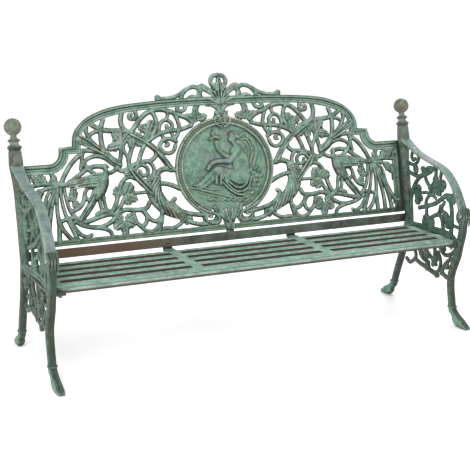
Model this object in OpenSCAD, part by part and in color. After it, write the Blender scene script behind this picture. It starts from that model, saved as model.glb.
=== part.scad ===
// Cast iron garden bench: two end frames, a reclined scrollwork back panel with
// an oval medallion, a slotted seat casting and a flat rear rail, bolted together.
// Frame: +X along the bench, front towards -Y, +Z up, origin on the ground under
// the middle of the bench. Millimetres.

/* [Overall] */
// Height of the walking surface of the seat above the ground
seat_z = 366; // [340:1:390]
// Distance from the bench's middle plane to the middle of each end frame
end_x = 866; // [860:1:900]
// Lean of the back panel and the posts, in degrees
recline = 11.2; // [8:0.2:14]

/* [Back panel] */
// Thickness of the scrollwork
vine_t = 11; // [8:1:14]
// Height of the moulding on the rails above the scrollwork
rail_rise = 4; // [2:1:6]
// Half width of the medallion's outer ring
ring_rx = 220; // [214:1:224]
// Half height of the medallion's outer ring
ring_rz = 210; // [204:1:212]
// Width of the medallion's ring
ring_w = 30; // [26:1:34]

/* [Seat] */
// Thickness of the seat casting
seat_t = 12; // [9:1:14]
// Width of each slot between two slats
slot_w = 34; // [24:1:38]
// Distance between two rows of slots
slot_pitch = 72; // [68:1:74]
// Width of the cross straps that the slots stop at
strap_w = 44; // [36:2:60]

/* [End frames] */
// Width of the flat armrest band
arm_w = 40; // [34:2:50]
// Thickness of the legs across the bench
leg_t = 32; // [24:2:36]
// Radius of the finial's ball
ball_r = 33; // [28:1:36]

/* [Fasteners] */
// Radius of the bolt shanks
bolt_r = 4; // [3:0.5:4]
// Radius of the stud that holds each finial
stud_r = 6; // [4:1:7]

/* [Hidden] */

$fn = 48;
green = "#5f8f7c";
dark = "#4a6b5e";
rust = "#6b4a38";

hole_r = bolt_r + 0.6;         // clearance hole of every bolt
nut_r = bolt_r * 1.9;          // across the corners of a nut
nut_t = bolt_r * 1.6;
head_r = bolt_r * 2;
head_t = bolt_r * 1.1;
step = 26;                     // longest straight stretch of a sampled curve

// The back panel has its own axes: x along the bench, v up the slope, n towards
// the front. Its front face passes through panel_y0 at ground level.
panel_y0 = 68.6;
bottom_v = 425;                // lower edge of the panel's bottom rail
bottom_h = 23;                 // height of the bottom rail
panel_x = 838;                 // half length of the panel
ring_v = 679;                  // centre of the medallion
bar_v = 380;                   // lower edge of the flat rear rail
bar_h = 36;
bar_t = 7;
bar_n = -4;                    // back face of the rear rail
ear_t = 8;                     // thickness of the ears that carry panel and rail
ear_x = 824;                   // bolt line of those ears
panel_bolt_v = [480, 585, 690];
rail_bolt_v = bar_v + bar_h / 2;
tab_x = 280;                   // middle of the cross straps and of their tabs
seat_x = 846;                  // half length of the seat
seat_screw_x = 832;
seat_screw_y = [-232, -58, 82];
seat_front = -256;
seat_back = 105;
seat_corner = 44;              // radius of the seat's front corners
nose_r = 11;                   // rounding of the front rail's upper edge
nose_h = 16;                   // height of the front rail's face
lug_t = 14;
post_top = 798;                // joint between post and finial
post_lean_d = -132;            // depth of the post's axis at height post_base
post_base = 400;
plaque_bolts_at = [[120, 796], [120, 562]];
plaque_gap = 1;                // the plaque stands this far inside the ring's back face
plaque_t = 7;
plaque_tab_t = 4;
plaque_grip = 4;               // how far the bolts reach into the plaque

// ---------- curves ----------

// One point of a Catmull-Rom curve between b and c
function crom(a, b, c, d, t) =
    0.5 * ((2 * b) + (c - a) * t + (2 * a - 5 * b + 4 * c - d) * t * t
        + (3 * b - a - 3 * c + d) * t * t * t);

// A smooth curve through all the points of p, with a sample every step or less
function curve(p, s = step) = let (n = len(p)) concat(
    [for (i = [0:n - 2])
        let (
            a = i == 0 ? 2 * p[0] - p[1] : p[i - 1],
            d = i == n - 2 ? 2 * p[n - 1] - p[n - 2] : p[i + 2],
            k = ceil(norm(p[i + 1] - p[i]) / s)
        )
        for (j = [0:k - 1]) crom(a, p[i], p[i + 1], d, j / k)],
    [p[n - 1]]);

// Unit normal of a sampled curve at sample i
function side(c, i) =
    let (q = c[min(i + 1, len(c) - 1)] - c[max(i - 1, 0)])
    [-q[1], q[0]] / norm(q);

// Half width of a bar that goes from w0 to w1 along n samples
function half_w(w0, w1, i, n) = (w0 + (w1 - w0) * i / (n - 1)) / 2;

// A bar of changing width with round ends along the points p
module bar(p, w0, w1, s = step) {
    c = curve(p, s);
    n = len(c);
    polygon(concat(
        [for (i = [0:n - 1]) c[i] + side(c, i) * half_w(w0, w1, i, n)],
        [for (i = [n - 1:-1:0]) c[i] - side(c, i) * half_w(w0, w1, i, n)]));
    translate(c[0]) circle(w0 / 2, $fn = 8);
    translate(c[n - 1]) circle(w1 / 2, $fn = 8);
}

// A pointed leaf from its base to its tip, w wide on each side, with soft lobes
module leaf(base, tip, w) {
    along = tip - base;
    across = [-along[1], along[0]] / norm(along);
    edge = [for (t = [0.02:0.2:1]) [t, w * (0.35 + sin(180 * pow(t, 0.8)) * 0.75
        - 0.12 * pow(sin(360 * t), 2)) * (t < 0.9 ? 1 : 0.6)]];
    polygon(concat(
        [for (e = edge) base + along * e[0] + across * e[1]],
        [tip],
        [for (i = [len(edge) - 1:-1:0])
            base + along * edge[i][0] - across * edge[i][1]]));
}

function oval(rx, rz, n = 72) =
    [for (i = [0:n - 1]) [rx * cos(i * 360 / n), rz * sin(i * 360 / n)]];

module both_sides() {
    children();
    mirror([1, 0, 0]) children();
}

// Lays a drawing in x and v into the reclined plane; n is its extrusion axis
module on_panel() {
    translate([0, panel_y0, 0]) rotate([90 - recline, 0, 0]) children();
}

// Sets a drawing in depth and height upright, middle plane at x
module upright(x, t) {
    translate([x, 0, 0]) rotate([90, 0, -90]) linear_extrude(t, center = true) children();
}

// ---------- back panel drawing, right half ----------

// Scrolls, stems and stalks: [points, width at start, width at end]
VINES = [
    // upper stems between the medallion and the arched rail
    [[[128, 872], [155, 893], [190, 906], [230, 924], [275, 931], [320, 920], [352, 896],
        [378, 866], [392, 846]], 13, 14],
    [[[135, 860], [180, 847], [240, 842], [290, 828], [335, 800], [358, 765], [372, 729]], 12, 12],
    [[[238, 690], [262, 728], [298, 774], [340, 810], [385, 840], [430, 854], [480, 858],
        [520, 866], [552, 884]], 21, 13],
    [[[203, 908], [192, 880], [188, 852], [198, 828], [214, 806]], 10, 10],
    [[[276, 842], [274, 862], [262, 881], [243, 888], [224, 879], [217, 863], [226, 851],
        [240, 855], [241, 866]], 10, 9],
    [[[236, 922], [233, 906], [243, 890]], 8, 8],
    [[[205, 800], [238, 813], [266, 805], [278, 785], [266, 763], [243, 754], [221, 762],
        [210, 785]], 10, 10],
    [[[262, 806], [248, 800], [240, 789], [250, 785]], 8, 9],
    [[[226, 843], [220, 828], [214, 806]], 8, 8],
    [[[268, 838], [262, 822], [250, 812]], 8, 8],
    [[[277, 785], [290, 776], [302, 772]], 8, 8],
    [[[300, 924], [288, 900], [285, 876], [292, 852], [306, 830]], 12, 11],
    [[[426, 926], [433, 895], [427, 868], [408, 848]], 14, 13],
    [[[372, 934], [366, 912], [376, 900], [394, 902], [396, 914], [388, 918]], 11, 10],
    [[[152, 942], [160, 925], [178, 920], [192, 928], [186, 938]], 10, 9],
    // stems that hang from the leaf rosette down to the scroll
    [[[398, 846], [393, 800], [403, 765], [413, 735], [411, 706], [404, 688]], 12, 12],
    [[[430, 800], [431, 780], [421, 757], [413, 737]], 8, 8],
    [[[436, 852], [441, 810], [442, 770], [450, 737], [464, 711], [486, 696], [506, 692]], 12, 11],
    [[[293, 766], [300, 745], [322, 730], [358, 727], [392, 718], [420, 704], [446, 697],
        [462, 708]], 12, 12],
    [[[328, 726], [313, 706], [312, 680], [326, 660], [350, 651], [374, 660]], 10, 10],
    [[[396, 664], [392, 692], [376, 712], [355, 714], [339, 702], [337, 684], [350, 672],
        [366, 678], [370, 692]], 10, 9],
    [[[322, 605], [345, 626], [372, 652], [392, 678], [408, 706]], 24, 16],
    [[[392, 664], [415, 672], [438, 664], [455, 645], [462, 622]], 11, 11],
    [[[325, 608], [352, 606], [400, 606]], 8, 8],
    [[[470, 612], [476, 585], [488, 558], [505, 536]], 13, 12],
    [[[440, 596], [452, 575], [465, 556], [478, 538]], 11, 11],
    // the branch under the bird
    [[[343, 562], [352, 546], [376, 538], [410, 540], [448, 543], [480, 531], [520, 531],
        [560, 522], [600, 511], [626, 508]], 13, 13],
    [[[505, 538], [530, 546], [560, 535]], 16, 14],
    [[[478, 528], [505, 502], [545, 486], [588, 488], [622, 498], [650, 515]], 13, 11],
    [[[505, 442], [516, 466], [546, 479], [588, 487]], 10, 10],
    // reeds above the bird
    [[[505, 902], [517, 870], [520, 840], [518, 805], [510, 770]], 12, 15],
    [[[524, 860], [550, 854], [570, 840]], 10, 9],
    [[[512, 776], [492, 748], [458, 724]], 28, 30],
    [[[512, 770], [545, 795], [583, 818], [612, 832]], 18, 26],
    [[[514, 778], [542, 802], [566, 832], [578, 862], [574, 880]], 12, 10],
    [[[512, 765], [550, 781], [590, 787], [612, 785]], 11, 11],
    [[[505, 752], [540, 763], [572, 758], [596, 742], [606, 726]], 14, 8],
    // stems round the bird
    [[[600, 776], [630, 757], [660, 725], [682, 690], [698, 660]], 13, 13],
    [[[604, 784], [604, 750], [612, 716]], 11, 8],
    [[[512, 716], [545, 723], [582, 717], [612, 698], [640, 680], [668, 664]], 13, 12],
    [[[545, 684], [566, 700], [586, 718], [600, 742]], 11, 10],
    [[[560, 618], [578, 582], [600, 552], [628, 520]], 28, 20],
    [[[562, 642], [590, 640], [604, 619], [597, 598], [578, 592]], 9, 9],
    [[[606, 612], [612, 590], [630, 568], [662, 555]], 10, 12],
    [[[530, 600], [526, 570], [520, 545]], 9, 8],
    [[[548, 596], [545, 570], [540, 548]], 9, 8],
    // fan of stems beside the post
    [[[684, 655], [680, 610], [670, 565], [652, 535], [626, 510]], 11, 12],
    [[[697, 655], [698, 605], [690, 555], [676, 515], [660, 475], [646, 442]], 11, 12],
    [[[708, 650], [717, 600], [719, 555], [716, 515], [718, 480], [720, 442]], 12, 16],
    [[[715, 650], [732, 600], [746, 545], [755, 500], [758, 446]], 12, 19],
    [[[719, 650], [742, 605], [764, 550], [781, 500], [792, 446]], 11, 18],
    [[[722, 652], [748, 632], [762, 600], [767, 570], [780, 540], [800, 500], [816, 480]], 12, 14],
    [[[672, 520], [655, 490], [635, 465], [610, 452], [590, 458]], 13, 9],
    [[[714, 520], [702, 488], [684, 462], [664, 442]], 11, 12],
    [[[626, 520], [660, 530], [690, 525], [718, 518]], 10, 10],
    [[[684, 660], [704, 662], [740, 668], [776, 668], [818, 662]], 16, 10],
    [[[712, 654], [745, 652], [775, 643], [818, 622]], 9, 12],
    [[[730, 710], [722, 686], [708, 664]], 14, 10],
    // acanthus horn beside the medallion
    [[[300, 668], [300, 630], [296, 596], [272, 558], [232, 522], [192, 488]], 24, 16],
    [[[328, 660], [336, 618], [328, 578], [300, 540], [262, 514], [215, 496]], 24, 18],
    [[[312, 668], [318, 625], [312, 585], [282, 545], [240, 515], [196, 488]], 26, 18],
    [[[204, 608], [250, 629], [300, 640]], 14, 13],
    [[[214, 684], [240, 690], [272, 692], [300, 676], [315, 650]], 15, 18],
    // scrolls along the bottom rail
    [[[78, 493], [120, 495], [165, 503], [205, 517], [233, 540], [243, 560], [232, 570]], 14, 13],
    [[[60, 462], [108, 456], [150, 462], [182, 474], [202, 486]], 13, 12],
    [[[196, 490], [214, 469], [246, 454], [284, 455], [300, 444]], 11, 11],
    [[[292, 520], [295, 492], [302, 470], [312, 444]], 12, 12],
    [[[298, 500], [318, 487], [342, 497], [364, 524], [378, 540]], 12, 13],
    [[[364, 530], [357, 502], [368, 478], [388, 476], [404, 494], [412, 524]], 11, 12],
    [[[306, 488], [315, 463], [340, 448], [370, 456], [388, 474]], 10, 10],
    [[[60, 520], [52, 492], [62, 468], [88, 462], [108, 474], [108, 490], [94, 497], [84, 488]], 13, 9]
];

// Leaves: [base, tip, half width]
LEAVES = [
    [[112, 872], [110, 944], 13], [[104, 884], [62, 898], 14], [[118, 884], [164, 902], 14],
    [[322, 850], [300, 893], 15], [[326, 850], [364, 870], 15], [[312, 852], [340, 815], 13],
    [[385, 815], [338, 790], 13], [[392, 838], [398, 778], 16], [[408, 838], [440, 800], 15],
    [[440, 812], [470, 856], 16], [[440, 800], [500, 788], 16], [[384, 836], [348, 830], 10],
    [[440, 600], [412, 652], 24], [[462, 596], [476, 640], 18], [[442, 598], [388, 578], 16],
    [[436, 592], [420, 560], 16], [[650, 598], [648, 655], 14], [[648, 600], [678, 612], 10],
    [[648, 598], [636, 556], 12], [[758, 668], [782, 712], 14], [[785, 664], [808, 712], 10],
    [[770, 648], [814, 600], 15], [[735, 665], [712, 700], 11], [[450, 500], [406, 478], 18],
    [[455, 500], [500, 472], 18], [[452, 498], [452, 440], 16], [[446, 505], [410, 524], 12],
    [[458, 506], [484, 524], 12], [[190, 486], [160, 478], 13], [[186, 484], [188, 458], 11],
    [[192, 488], [214, 500], 12], [[404, 690], [440, 684], 11]
];

// Outline of the bird: body, neck and head, and its long pointed wing
BIRD = [
    [497, 712], [505, 727], [522, 728], [530, 716], [524, 700], [530, 688], [556, 687],
    [600, 684], [645, 675], [692, 661], [690, 653], [640, 648], [598, 645], [570, 640],
    [574, 620], [585, 602], [570, 590], [548, 588], [528, 596], [510, 620], [498, 650], [495, 682]
];

// Crest above the middle of the arched rail: [points, width at start, width at end]
CREST = [
    [[[0, 1064], [22, 1060], [34, 1040], [27, 1018], [8, 1000]], 11, 13],
    [[[12, 984], [36, 1000], [62, 1014]], 7, 7],
    [[[12, 962], [34, 984], [66, 1003]], 7, 8],
    [[[60, 1010], [74, 1018], [90, 1010]], 16, 13],
    [[[88, 1008], [110, 1016], [135, 1010], [160, 996], [190, 981], [225, 974], [268, 973]], 12, 10],
    [[[268, 968], [270, 978]], 18, 20],
    [[[150, 1002], [164, 984], [170, 960]], 12, 14],
    [[[80, 1006], [88, 985], [84, 960]], 14, 24],
    [[[84, 965], [98, 948], [108, 930]], 20, 18],
    [[[98, 966], [120, 976], [148, 964]], 14, 8],
    [[[8, 948], [42, 964], [75, 964]], 12, 12],
    [[[8, 896], [14, 922], [34, 938], [60, 942]], 11, 10],
    [[[4, 906], [22, 894], [34, 866]], 16, 12]
];

// Arched top rail, outer and inner edge from the middle to the step
arch_out = curve([[0, 970], [100, 970], [200, 969], [300, 965], [400, 958], [450, 952],
    [495, 943], [535, 930],
    [570, 914], [600, 892], [622, 867], [634, 840], [638, 805]], 24);
arch_in = curve([[0, 940], [100, 939], [200, 938], [300, 935], [400, 927], [440, 921], [480, 913],
    [520, 902],
    [552, 889], [578, 874], [596, 853], [604, 826], [605, 777]], 24);
// Quarter round of the shoulder: centre, outer and inner radius
shoulder = [737, 787];
shoulder_out = 45;
shoulder_in = 82;
step_top = 805;
step_low = 777;
rail_low = shoulder[1] - shoulder_in;
rail_top = shoulder[1] - shoulder_out;

module top_rail() {
    polygon(concat(
        arch_out,
        [[shoulder[0] - shoulder_out, step_top]],
        [for (a = [180:15:270]) shoulder + shoulder_out * [cos(a), sin(a)]],
        [[panel_x, rail_top], [panel_x, rail_low]],
        [for (a = [270:-10:180])
            let (q = shoulder + shoulder_in * [cos(a), sin(a)]) [q[0], min(q[1], step_low)]],
        [[605, step_low]],
        [for (i = [len(arch_in) - 2:-1:0]) arch_in[i]]));
}

module end_band() {
    translate([panel_x - 26, bottom_v]) square([26, rail_top - bottom_v]);
}

module bottom_rail() {
    translate([0, bottom_v]) square([panel_x, bottom_h]);
}

module rails() {
    both_sides() {
        top_rail();
        end_band();
        bottom_rail();
    }
}

// The scrollwork of both halves with the crest and the medallion's ring
module scrollwork() {
    both_sides() {
        for (v = VINES) bar(v[0], v[1], v[2]);
        for (c = CREST) bar(c[0], c[1], c[2]);
        for (l = LEAVES) leaf(l[0], l[1], l[2]);
        polygon(BIRD);
        leaf([0, 470], [46, 508], 16);
        leaf([10, 446], [40, 462], 12);
    }
    bar([[0, 876], [0, 930], [0, 1000]], 30, 18);
    leaf([0, 996], [0, 1060], 9);
    leaf([0, 448], [0, 512], 20);
    translate([-20, bottom_v]) square([40, 60]);
    translate([0, ring_v]) polygon(oval(ring_rx, ring_rz));
}

module medallion_opening() {
    translate([0, ring_v]) polygon(oval(ring_rx - ring_w, ring_rz - ring_w));
}

// ---------- end frame drawing, in depth (front is positive) and height ----------

ARM = [[-176, 728], [-155, 720], [-90, 692], [-30, 676], [30, 664], [70, 656], [120, 641],
    [150, 623], [180, 598],
    [205, 570], [222, 546], [240, 518], [254, 488]];
FRONT_LEG = [[262, 480], [256, 400], [243, 350], [231, 300], [208, 245], [195, 200], [196, 150],
    [206, 100], [214, 56]];
REAR_LEG = [[-132, 400], [-150, 320], [-175, 220], [-202, 150], [-220, 100], [-232, 60]];
FRONT_HOOF = [[196, 62], [234, 70], [256, 48], [290, 30], [328, 6], [328, 0], [236, 0], [212, 28]];
REAR_HOOF = [[-214, 68], [-250, 70], [-272, 48], [-300, 28], [-328, 6], [-328, 0], [-240, 0],
    [-222, 24]];
knee = [242, 470];
LEDGE = [[-140, 372], [-80, 374], [-20, 378], [50, 382], [110, 384], [170, 380], [208, 366],
    [230, 338]];

ARM_VINES = [
    [[[-110, 370], [-114, 420], [-120, 470], [-112, 515], [-92, 552], [-64, 582], [-30, 600],
        [10, 616], [36, 636], [60, 650]], 18, 12],
    [[[-168, 604], [-130, 592], [-84, 586], [-40, 597]], 12, 12],
    [[[-168, 640], [-118, 632], [-86, 644], [-72, 668], [-88, 690], [-116, 690], [-128, 668],
        [-116, 652], [-102, 660]], 10, 9],
    [[[-24, 600], [-12, 578], [8, 560], [28, 548]], 12, 12],
    [[[60, 656], [52, 628], [58, 600]], 10, 10],
    [[[94, 648], [96, 628], [90, 610]], 10, 10],
    [[[-146, 506], [-118, 514], [-84, 508], [-46, 518], [-4, 526], [34, 522], [60, 514]], 9, 9],
    [[[-56, 450], [-18, 462], [24, 476], [62, 492], [100, 516], [132, 536], [164, 540]], 13, 16],
    [[[-8, 470], [-2, 496], [18, 516], [44, 528]], 10, 10],
    [[[-2, 472], [0, 436], [8, 410]], 10, 12],
    [[[34, 424], [60, 438], [88, 450], [100, 484]], 12, 14],
    [[[85, 452], [112, 436], [122, 410], [126, 378]], 12, 14],
    [[[124, 506], [108, 482], [112, 466], [140, 460], [160, 442]], 10, 12],
    [[[156, 534], [172, 494], [178, 450], [180, 415], [178, 378]], 16, 18],
    [[[176, 424], [204, 420], [232, 418]], 9, 9]
];

ARM_LEAVES = [
    [[-100, 632], [-86, 596], 13], [[-20, 606], [-56, 632], 13], [[-20, 610], [30, 642], 14],
    [[70, 562], [54, 612], 18], [[74, 566], [126, 585], 22], [[66, 558], [4, 546], 18],
    [[70, 556], [96, 528], 15], [[-94, 520], [-48, 542], 18], [[-90, 500], [-38, 488], 16],
    [[-86, 484], [-58, 464], 12], [[16, 428], [-18, 384], 18], [[30, 424], [42, 378], 20],
    [[170, 508], [196, 562], 16], [[164, 518], [138, 548], 13], [[160, 442], [114, 440], 18],
    [[168, 432], [146, 398], 14]
];

APRON_VINES = [
    [[[-136, 204], [-112, 192], [-86, 206], [-66, 232], [-80, 256], [-104, 250]], 13, 9],
    [[[-170, 262], [-140, 300], [-100, 318], [-60, 300], [-40, 262], [-14, 232], [30, 224]], 12, 12],
    [[[-66, 214], [-30, 206], [10, 200], [50, 192], [90, 184]], 14, 18],
    [[[-20, 340], [-12, 300], [14, 268], [48, 250], [84, 226]], 12, 12],
    [[[50, 340], [66, 300], [70, 262], [62, 222]], 12, 16],
    [[[90, 340], [112, 306], [150, 284], [196, 300], [222, 330]], 12, 12],
    [[[84, 188], [110, 212], [116, 250], [96, 284]], 12, 10],
    [[[126, 196], [140, 232], [168, 262], [206, 280]], 12, 12],
    [[[204, 196], [168, 190], [132, 200]], 16, 14],
    [[[-120, 340], [-80, 334], [-50, 320]], 12, 12]
];

APRON_LEAVES = [
    [[-14, 236], [-46, 270], 14], [[20, 220], [30, 184], 16], [[30, 240], [6, 280], 16],
    [[66, 250], [100, 262], 14], [[92, 190], [92, 168], 12], [[150, 250], [176, 228], 14],
    [[140, 296], [120, 330], 14], [[-98, 316], [-112, 272], 14]
];

function post_d(z) = post_lean_d - (z - post_base) * tan(recline);

module post_axis(z) {
    translate([end_x, -post_d(z), z]) rotate([-recline, 0, 0]) children();
}

module arm_lace() {
    for (v = concat(ARM_VINES, APRON_VINES)) bar(v[0], v[1], v[2]);
    for (l = concat(ARM_LEAVES, APRON_LEAVES)) leaf(l[0], l[1], l[2]);
}

// An ear behind the back face at n, with a root that joins it to the post
module ear(v, height, n) {
    translate([ear_x - 14, v, n - ear_t]) cube([end_x - ear_x + 14, height, ear_t]);
    translate([panel_x + 4, v, n - ear_t]) cube([end_x - panel_x - 4, height, ear_t + vine_t]);
}

// A flange along the post that closes the gap beside the panel's end band
module post_flange() {
    translate([panel_x - 6, bottom_v, -vine_t - ear_t])
        cube([end_x - panel_x + 6, rail_top - bottom_v, ear_t - 1]);
}

// Ears on the post behind the panel's end band and behind the rear rail
module ears() {
    on_panel() {
        for (v = panel_bolt_v) ear(v - 18, 36, -vine_t);
        post_flange();
        ear(bar_v, bar_h, bar_n);
    }
}

// Lugs under the ends of the seat
module seat_lugs() {
    for (y = seat_screw_y)
        translate([seat_screw_x - 17, y - 18, seat_z - seat_t - lug_t])
            cube([end_x - seat_screw_x + 17, 36, lug_t]);
}

module end_frame() {
    difference() {
        union() {
            upright(end_x, arm_w) offset(delta = 0.01) bar(ARM, 12, 14, 20);
            upright(end_x, leg_t) offset(delta = 0.01) {
                bar(FRONT_LEG, 40, 34, 24);
                bar(REAR_LEG, 38, 32, 24);
                polygon(FRONT_HOOF);
                polygon(REAR_HOOF);
                translate(knee) circle(26, $fn = 24);
            }
            upright(end_x, 26) offset(delta = 0.01) {
                bar(LEDGE, 12, 12, 20);
                bar([for (p = LEDGE) p - [0, 14]], 20, 20, 20);
                bar([[-158, 344], [236, 344]], 16, 16);
            }
            upright(end_x, 10) offset(delta = 0.01) arm_lace();
            post_axis(post_base - 20)
                cylinder(h = (post_top - post_base + 20) / cos(recline), r1 = 20, r2 = 24);
            ears();
            seat_lugs();
        }
        panel_hole_axes() cylinder(h = 90, r = hole_r, center = true);
        rail_hole_axes() cylinder(h = 90, r = hole_r, center = true);
        seat_hole_axes() translate([0, 0, -60]) cylinder(h = 60, r = hole_r);
        post_axis(post_top) cylinder(h = 60, r = stud_r + 0.3, center = true);
    }
}

module panel_hole_axes() {
    on_panel() for (v = panel_bolt_v) translate([ear_x, v, 0]) children();
}

module rail_hole_axes() {
    on_panel() translate([ear_x, rail_bolt_v, 0]) children();
}

module seat_hole_axes() {
    for (y = seat_screw_y) translate([seat_screw_x, y, seat_z]) children();
}

module end_frame_left() {
    color(green) mirror([1, 0, 0]) end_frame();
}

module end_frame_right() {
    color(green) end_frame();
}

// ---------- finials ----------

// Half outline of the finial, from the joint with the post to the ball
FINIAL = [[0, 0], [26, 0], [28, 5], [25, 9], [18, 14], [17, 24], [23, 28], [23, 33], [15, 38],
    [12, 46], [13, 54]];
ball_z = 82;

module finial() {
    difference() {
        post_axis(post_top) {
            rotate_extrude() polygon(concat(FINIAL, [[0, 54]]));
            translate([0, 0, ball_z]) sphere(ball_r);
        }
        post_axis(post_top) cylinder(h = 60, r = stud_r + 0.3, center = true);
    }
}

module finial_left() {
    color(dark) mirror([1, 0, 0]) finial();
}

module finial_right() {
    color(dark) finial();
}

module finial_studs() {
    color(rust) both_sides() post_axis(post_top) cylinder(h = 56, r = stud_r, center = true);
}

// ---------- back panel ----------

module back_panel() {
    color(green) difference() {
        on_panel() union() {
            translate([0, 0, -vine_t]) panel_body();
            linear_extrude(rail_rise) offset(delta = -5) rails();
            linear_extrude(rail_rise + 2) translate([0, ring_v]) difference() {
                polygon(oval(ring_rx - 5, ring_rz - 5));
                polygon(oval(ring_rx - ring_w + 6, ring_rz - ring_w + 6));
            }
            translate([-20, bar_v + 3, -vine_t]) cube([40, bottom_v - bar_v, vine_t + bar_n]);
            plaque_seat();
        }
        both_sides() panel_hole_axes() cylinder(h = 60, r = hole_r, center = true);
        lug_axis() cylinder(h = 60, r = hole_r, center = true);
        plaque_axes() cylinder(h = 60, r = hole_r, center = true);
    }
}

module panel_outline() {
    offset(delta = -1.5) offset(delta = 1.5) difference() {
        union() {
            scrollwork();
            rails();
        }
        medallion_opening();
    }
}

// The panel is extruded in upright strips that meet edge to edge
module panel_body() {
    strip_w = 120;
    for (x = [-7 * strip_w:strip_w:6 * strip_w])
        linear_extrude(vine_t) offset(delta = 0) intersection() {
            translate([x, 0]) square([strip_w, 1200]);
            panel_outline();
        }
}

// Four tabs behind the medallion's opening that the plaque is bolted to
module plaque_seat() {
    plaque_tabs() translate([-24, -16, -vine_t - plaque_tab_t])
        cube([64, 32, plaque_tab_t + plaque_gap]);
}

module plaque_tabs() {
    both_sides() for (p = plaque_bolts_at)
        translate([p[0], p[1], 0]) rotate([0, 0, p[1] > ring_v ? 45 : -45]) children();
}

module plaque_axes() {
    on_panel() both_sides() for (p = plaque_bolts_at) translate([p[0], p[1], 0]) children();
}

module lug_axis() {
    on_panel() translate([0, rail_bolt_v, 0]) children();
}

// Oval plaque with a raised field, seated in the ring against the tabs
module medallion_plaque() {
    color(green) difference() {
        on_panel() translate([0, ring_v, 0]) {
            translate([0, 0, -vine_t + plaque_gap])
                linear_extrude(plaque_t) polygon(oval(ring_rx - ring_w - 1, ring_rz - ring_w - 1));
            translate([0, 0, -vine_t + plaque_gap + plaque_t - 1])
                linear_extrude(4) polygon(oval(ring_rx - ring_w - 26, ring_rz - ring_w - 26));
        }
        plaque_axes() translate([0, 0, -vine_t + plaque_gap + plaque_grip + 1 - 60])
            cylinder(h = 60, r = hole_r);
    }
}

// ---------- rear rail and seat ----------

module rear_rail() {
    color(rust) difference() {
        on_panel() translate([-panel_x, bar_v, bar_n]) cube([2 * panel_x, bar_h, bar_t]);
        both_sides() rail_hole_axes() cylinder(h = 60, r = hole_r, center = true);
        lug_axis() cylinder(h = 60, r = hole_r, center = true);
        tab_axes() cylinder(h = 60, r = hole_r, center = true);
    }
}

module tab_axes() {
    on_panel() both_sides() translate([tab_x, rail_bolt_v, 0]) children();
}

slot_rows = [for (i = [0:3]) 60 - i * slot_pitch];

// Cross section of the front rail with its rounded nose, in y and z below the top
module front_rail_section() {
    polygon(concat(
        [[seat_front + 60, 0]],
        [for (a = [90:15:180]) [seat_front + nose_r + nose_r * cos(a), -nose_r + nose_r * sin(a)]],
        [[seat_front, -nose_h], [seat_front + 12, -nose_h], [seat_front + 12, -seat_t],
         [seat_front + 60, -seat_t]]));
}

module slots() {
    bays = [[-tab_x + strap_w / 2, tab_x - strap_w / 2], [tab_x + strap_w / 2, seat_x - 36],
            [-seat_x + 36, -tab_x - strap_w / 2]];
    for (y = slot_rows, b = bays)
        translate([b[0], y - slot_w / 2, seat_z - seat_t - 1]) cube([b[1] - b[0], slot_w, seat_t + 2]);
}

// A tab runs back from each strap, under the rear rail and up behind it
module rear_tab() {
    tab_w = 40;
    back_y = panel_y0 + seat_z * tan(recline);
    translate([tab_x - tab_w / 2 - 2, seat_back - 5, seat_z - ear_t])
        cube([tab_w + 4, back_y - seat_back + 9, ear_t]);
    on_panel() translate([tab_x - tab_w / 2, bar_v - 16, bar_n - ear_t])
        cube([tab_w, bar_h + 13, ear_t]);
}

// The flat of the seat and its front rail, with rounded front corners
module seat_plate() {
    intersection() {
        union() {
            translate([-seat_x, seat_front + 40, seat_z - seat_t])
                cube([2 * seat_x, seat_back - seat_front - 40, seat_t]);
            translate([-seat_x, 0, seat_z]) rotate([90, 0, 90])
                linear_extrude(2 * seat_x) front_rail_section();
        }
        translate([0, 0, seat_z - 2 * nose_h]) linear_extrude(3 * nose_h) hull() both_sides() {
            translate([seat_x - seat_corner, seat_front + seat_corner]) circle(seat_corner);
            translate([0, seat_back + 5]) square([seat_x + 5, 1]);
        }
    }
}

module seat_casting() {
    color(green) difference() {
        union() {
            seat_plate();
            both_sides() rear_tab();
        }
        slots();
        both_sides() seat_hole_axes() {
            translate([0, 0, -40]) cylinder(h = 60, r = hole_r);
            translate([0, 0, -head_t]) cylinder(h = head_t + 0.01, r1 = hole_r, r2 = head_r + 0.6);
        }
        tab_axes() cylinder(h = 60, r = hole_r, center = true);
    }
}

// ---------- fasteners ----------

// A bolt along n: domed head on the front face, shank to the back
module bolt(front, length) {
    translate([0, 0, front - length]) cylinder(h = length, r = bolt_r);
    translate([0, 0, front]) intersection() {
        translate([0, 0, -head_r * 0.5]) sphere(head_r * 1.12);
        cylinder(h = head_t, r = head_r);
    }
}

module nut(back) {
    translate([0, 0, back - nut_t]) difference() {
        cylinder(h = nut_t, r = nut_r, $fn = 6);
        translate([0, 0, -1]) cylinder(h = nut_t + 2, r = bolt_r + 0.05);
    }
}

panel_stack = vine_t + ear_t + nut_t + 3;
rail_stack = bar_t + ear_t + nut_t + 3;

module panel_bolts() {
    color(rust) both_sides() panel_hole_axes() bolt(rail_rise, panel_stack + rail_rise);
}

module panel_nuts() {
    color(rust) both_sides() panel_hole_axes() nut(-vine_t - ear_t);
}

module rail_bolts() {
    color(rust) both_sides() rail_hole_axes() bolt(bar_n + bar_t, rail_stack);
}

module rail_nuts() {
    color(rust) both_sides() rail_hole_axes() nut(bar_n - ear_t);
}

module tab_bolts() {
    color(rust) tab_axes() bolt(bar_n + bar_t, rail_stack);
}

module tab_nuts() {
    color(rust) tab_axes() nut(bar_n - ear_t);
}

module lug_bolt() {
    color(rust) lug_axis() bolt(bar_n + bar_t, bar_t + vine_t + bar_n + nut_t + 3);
}

module lug_nut() {
    color(rust) lug_axis() nut(-vine_t);
}

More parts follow.
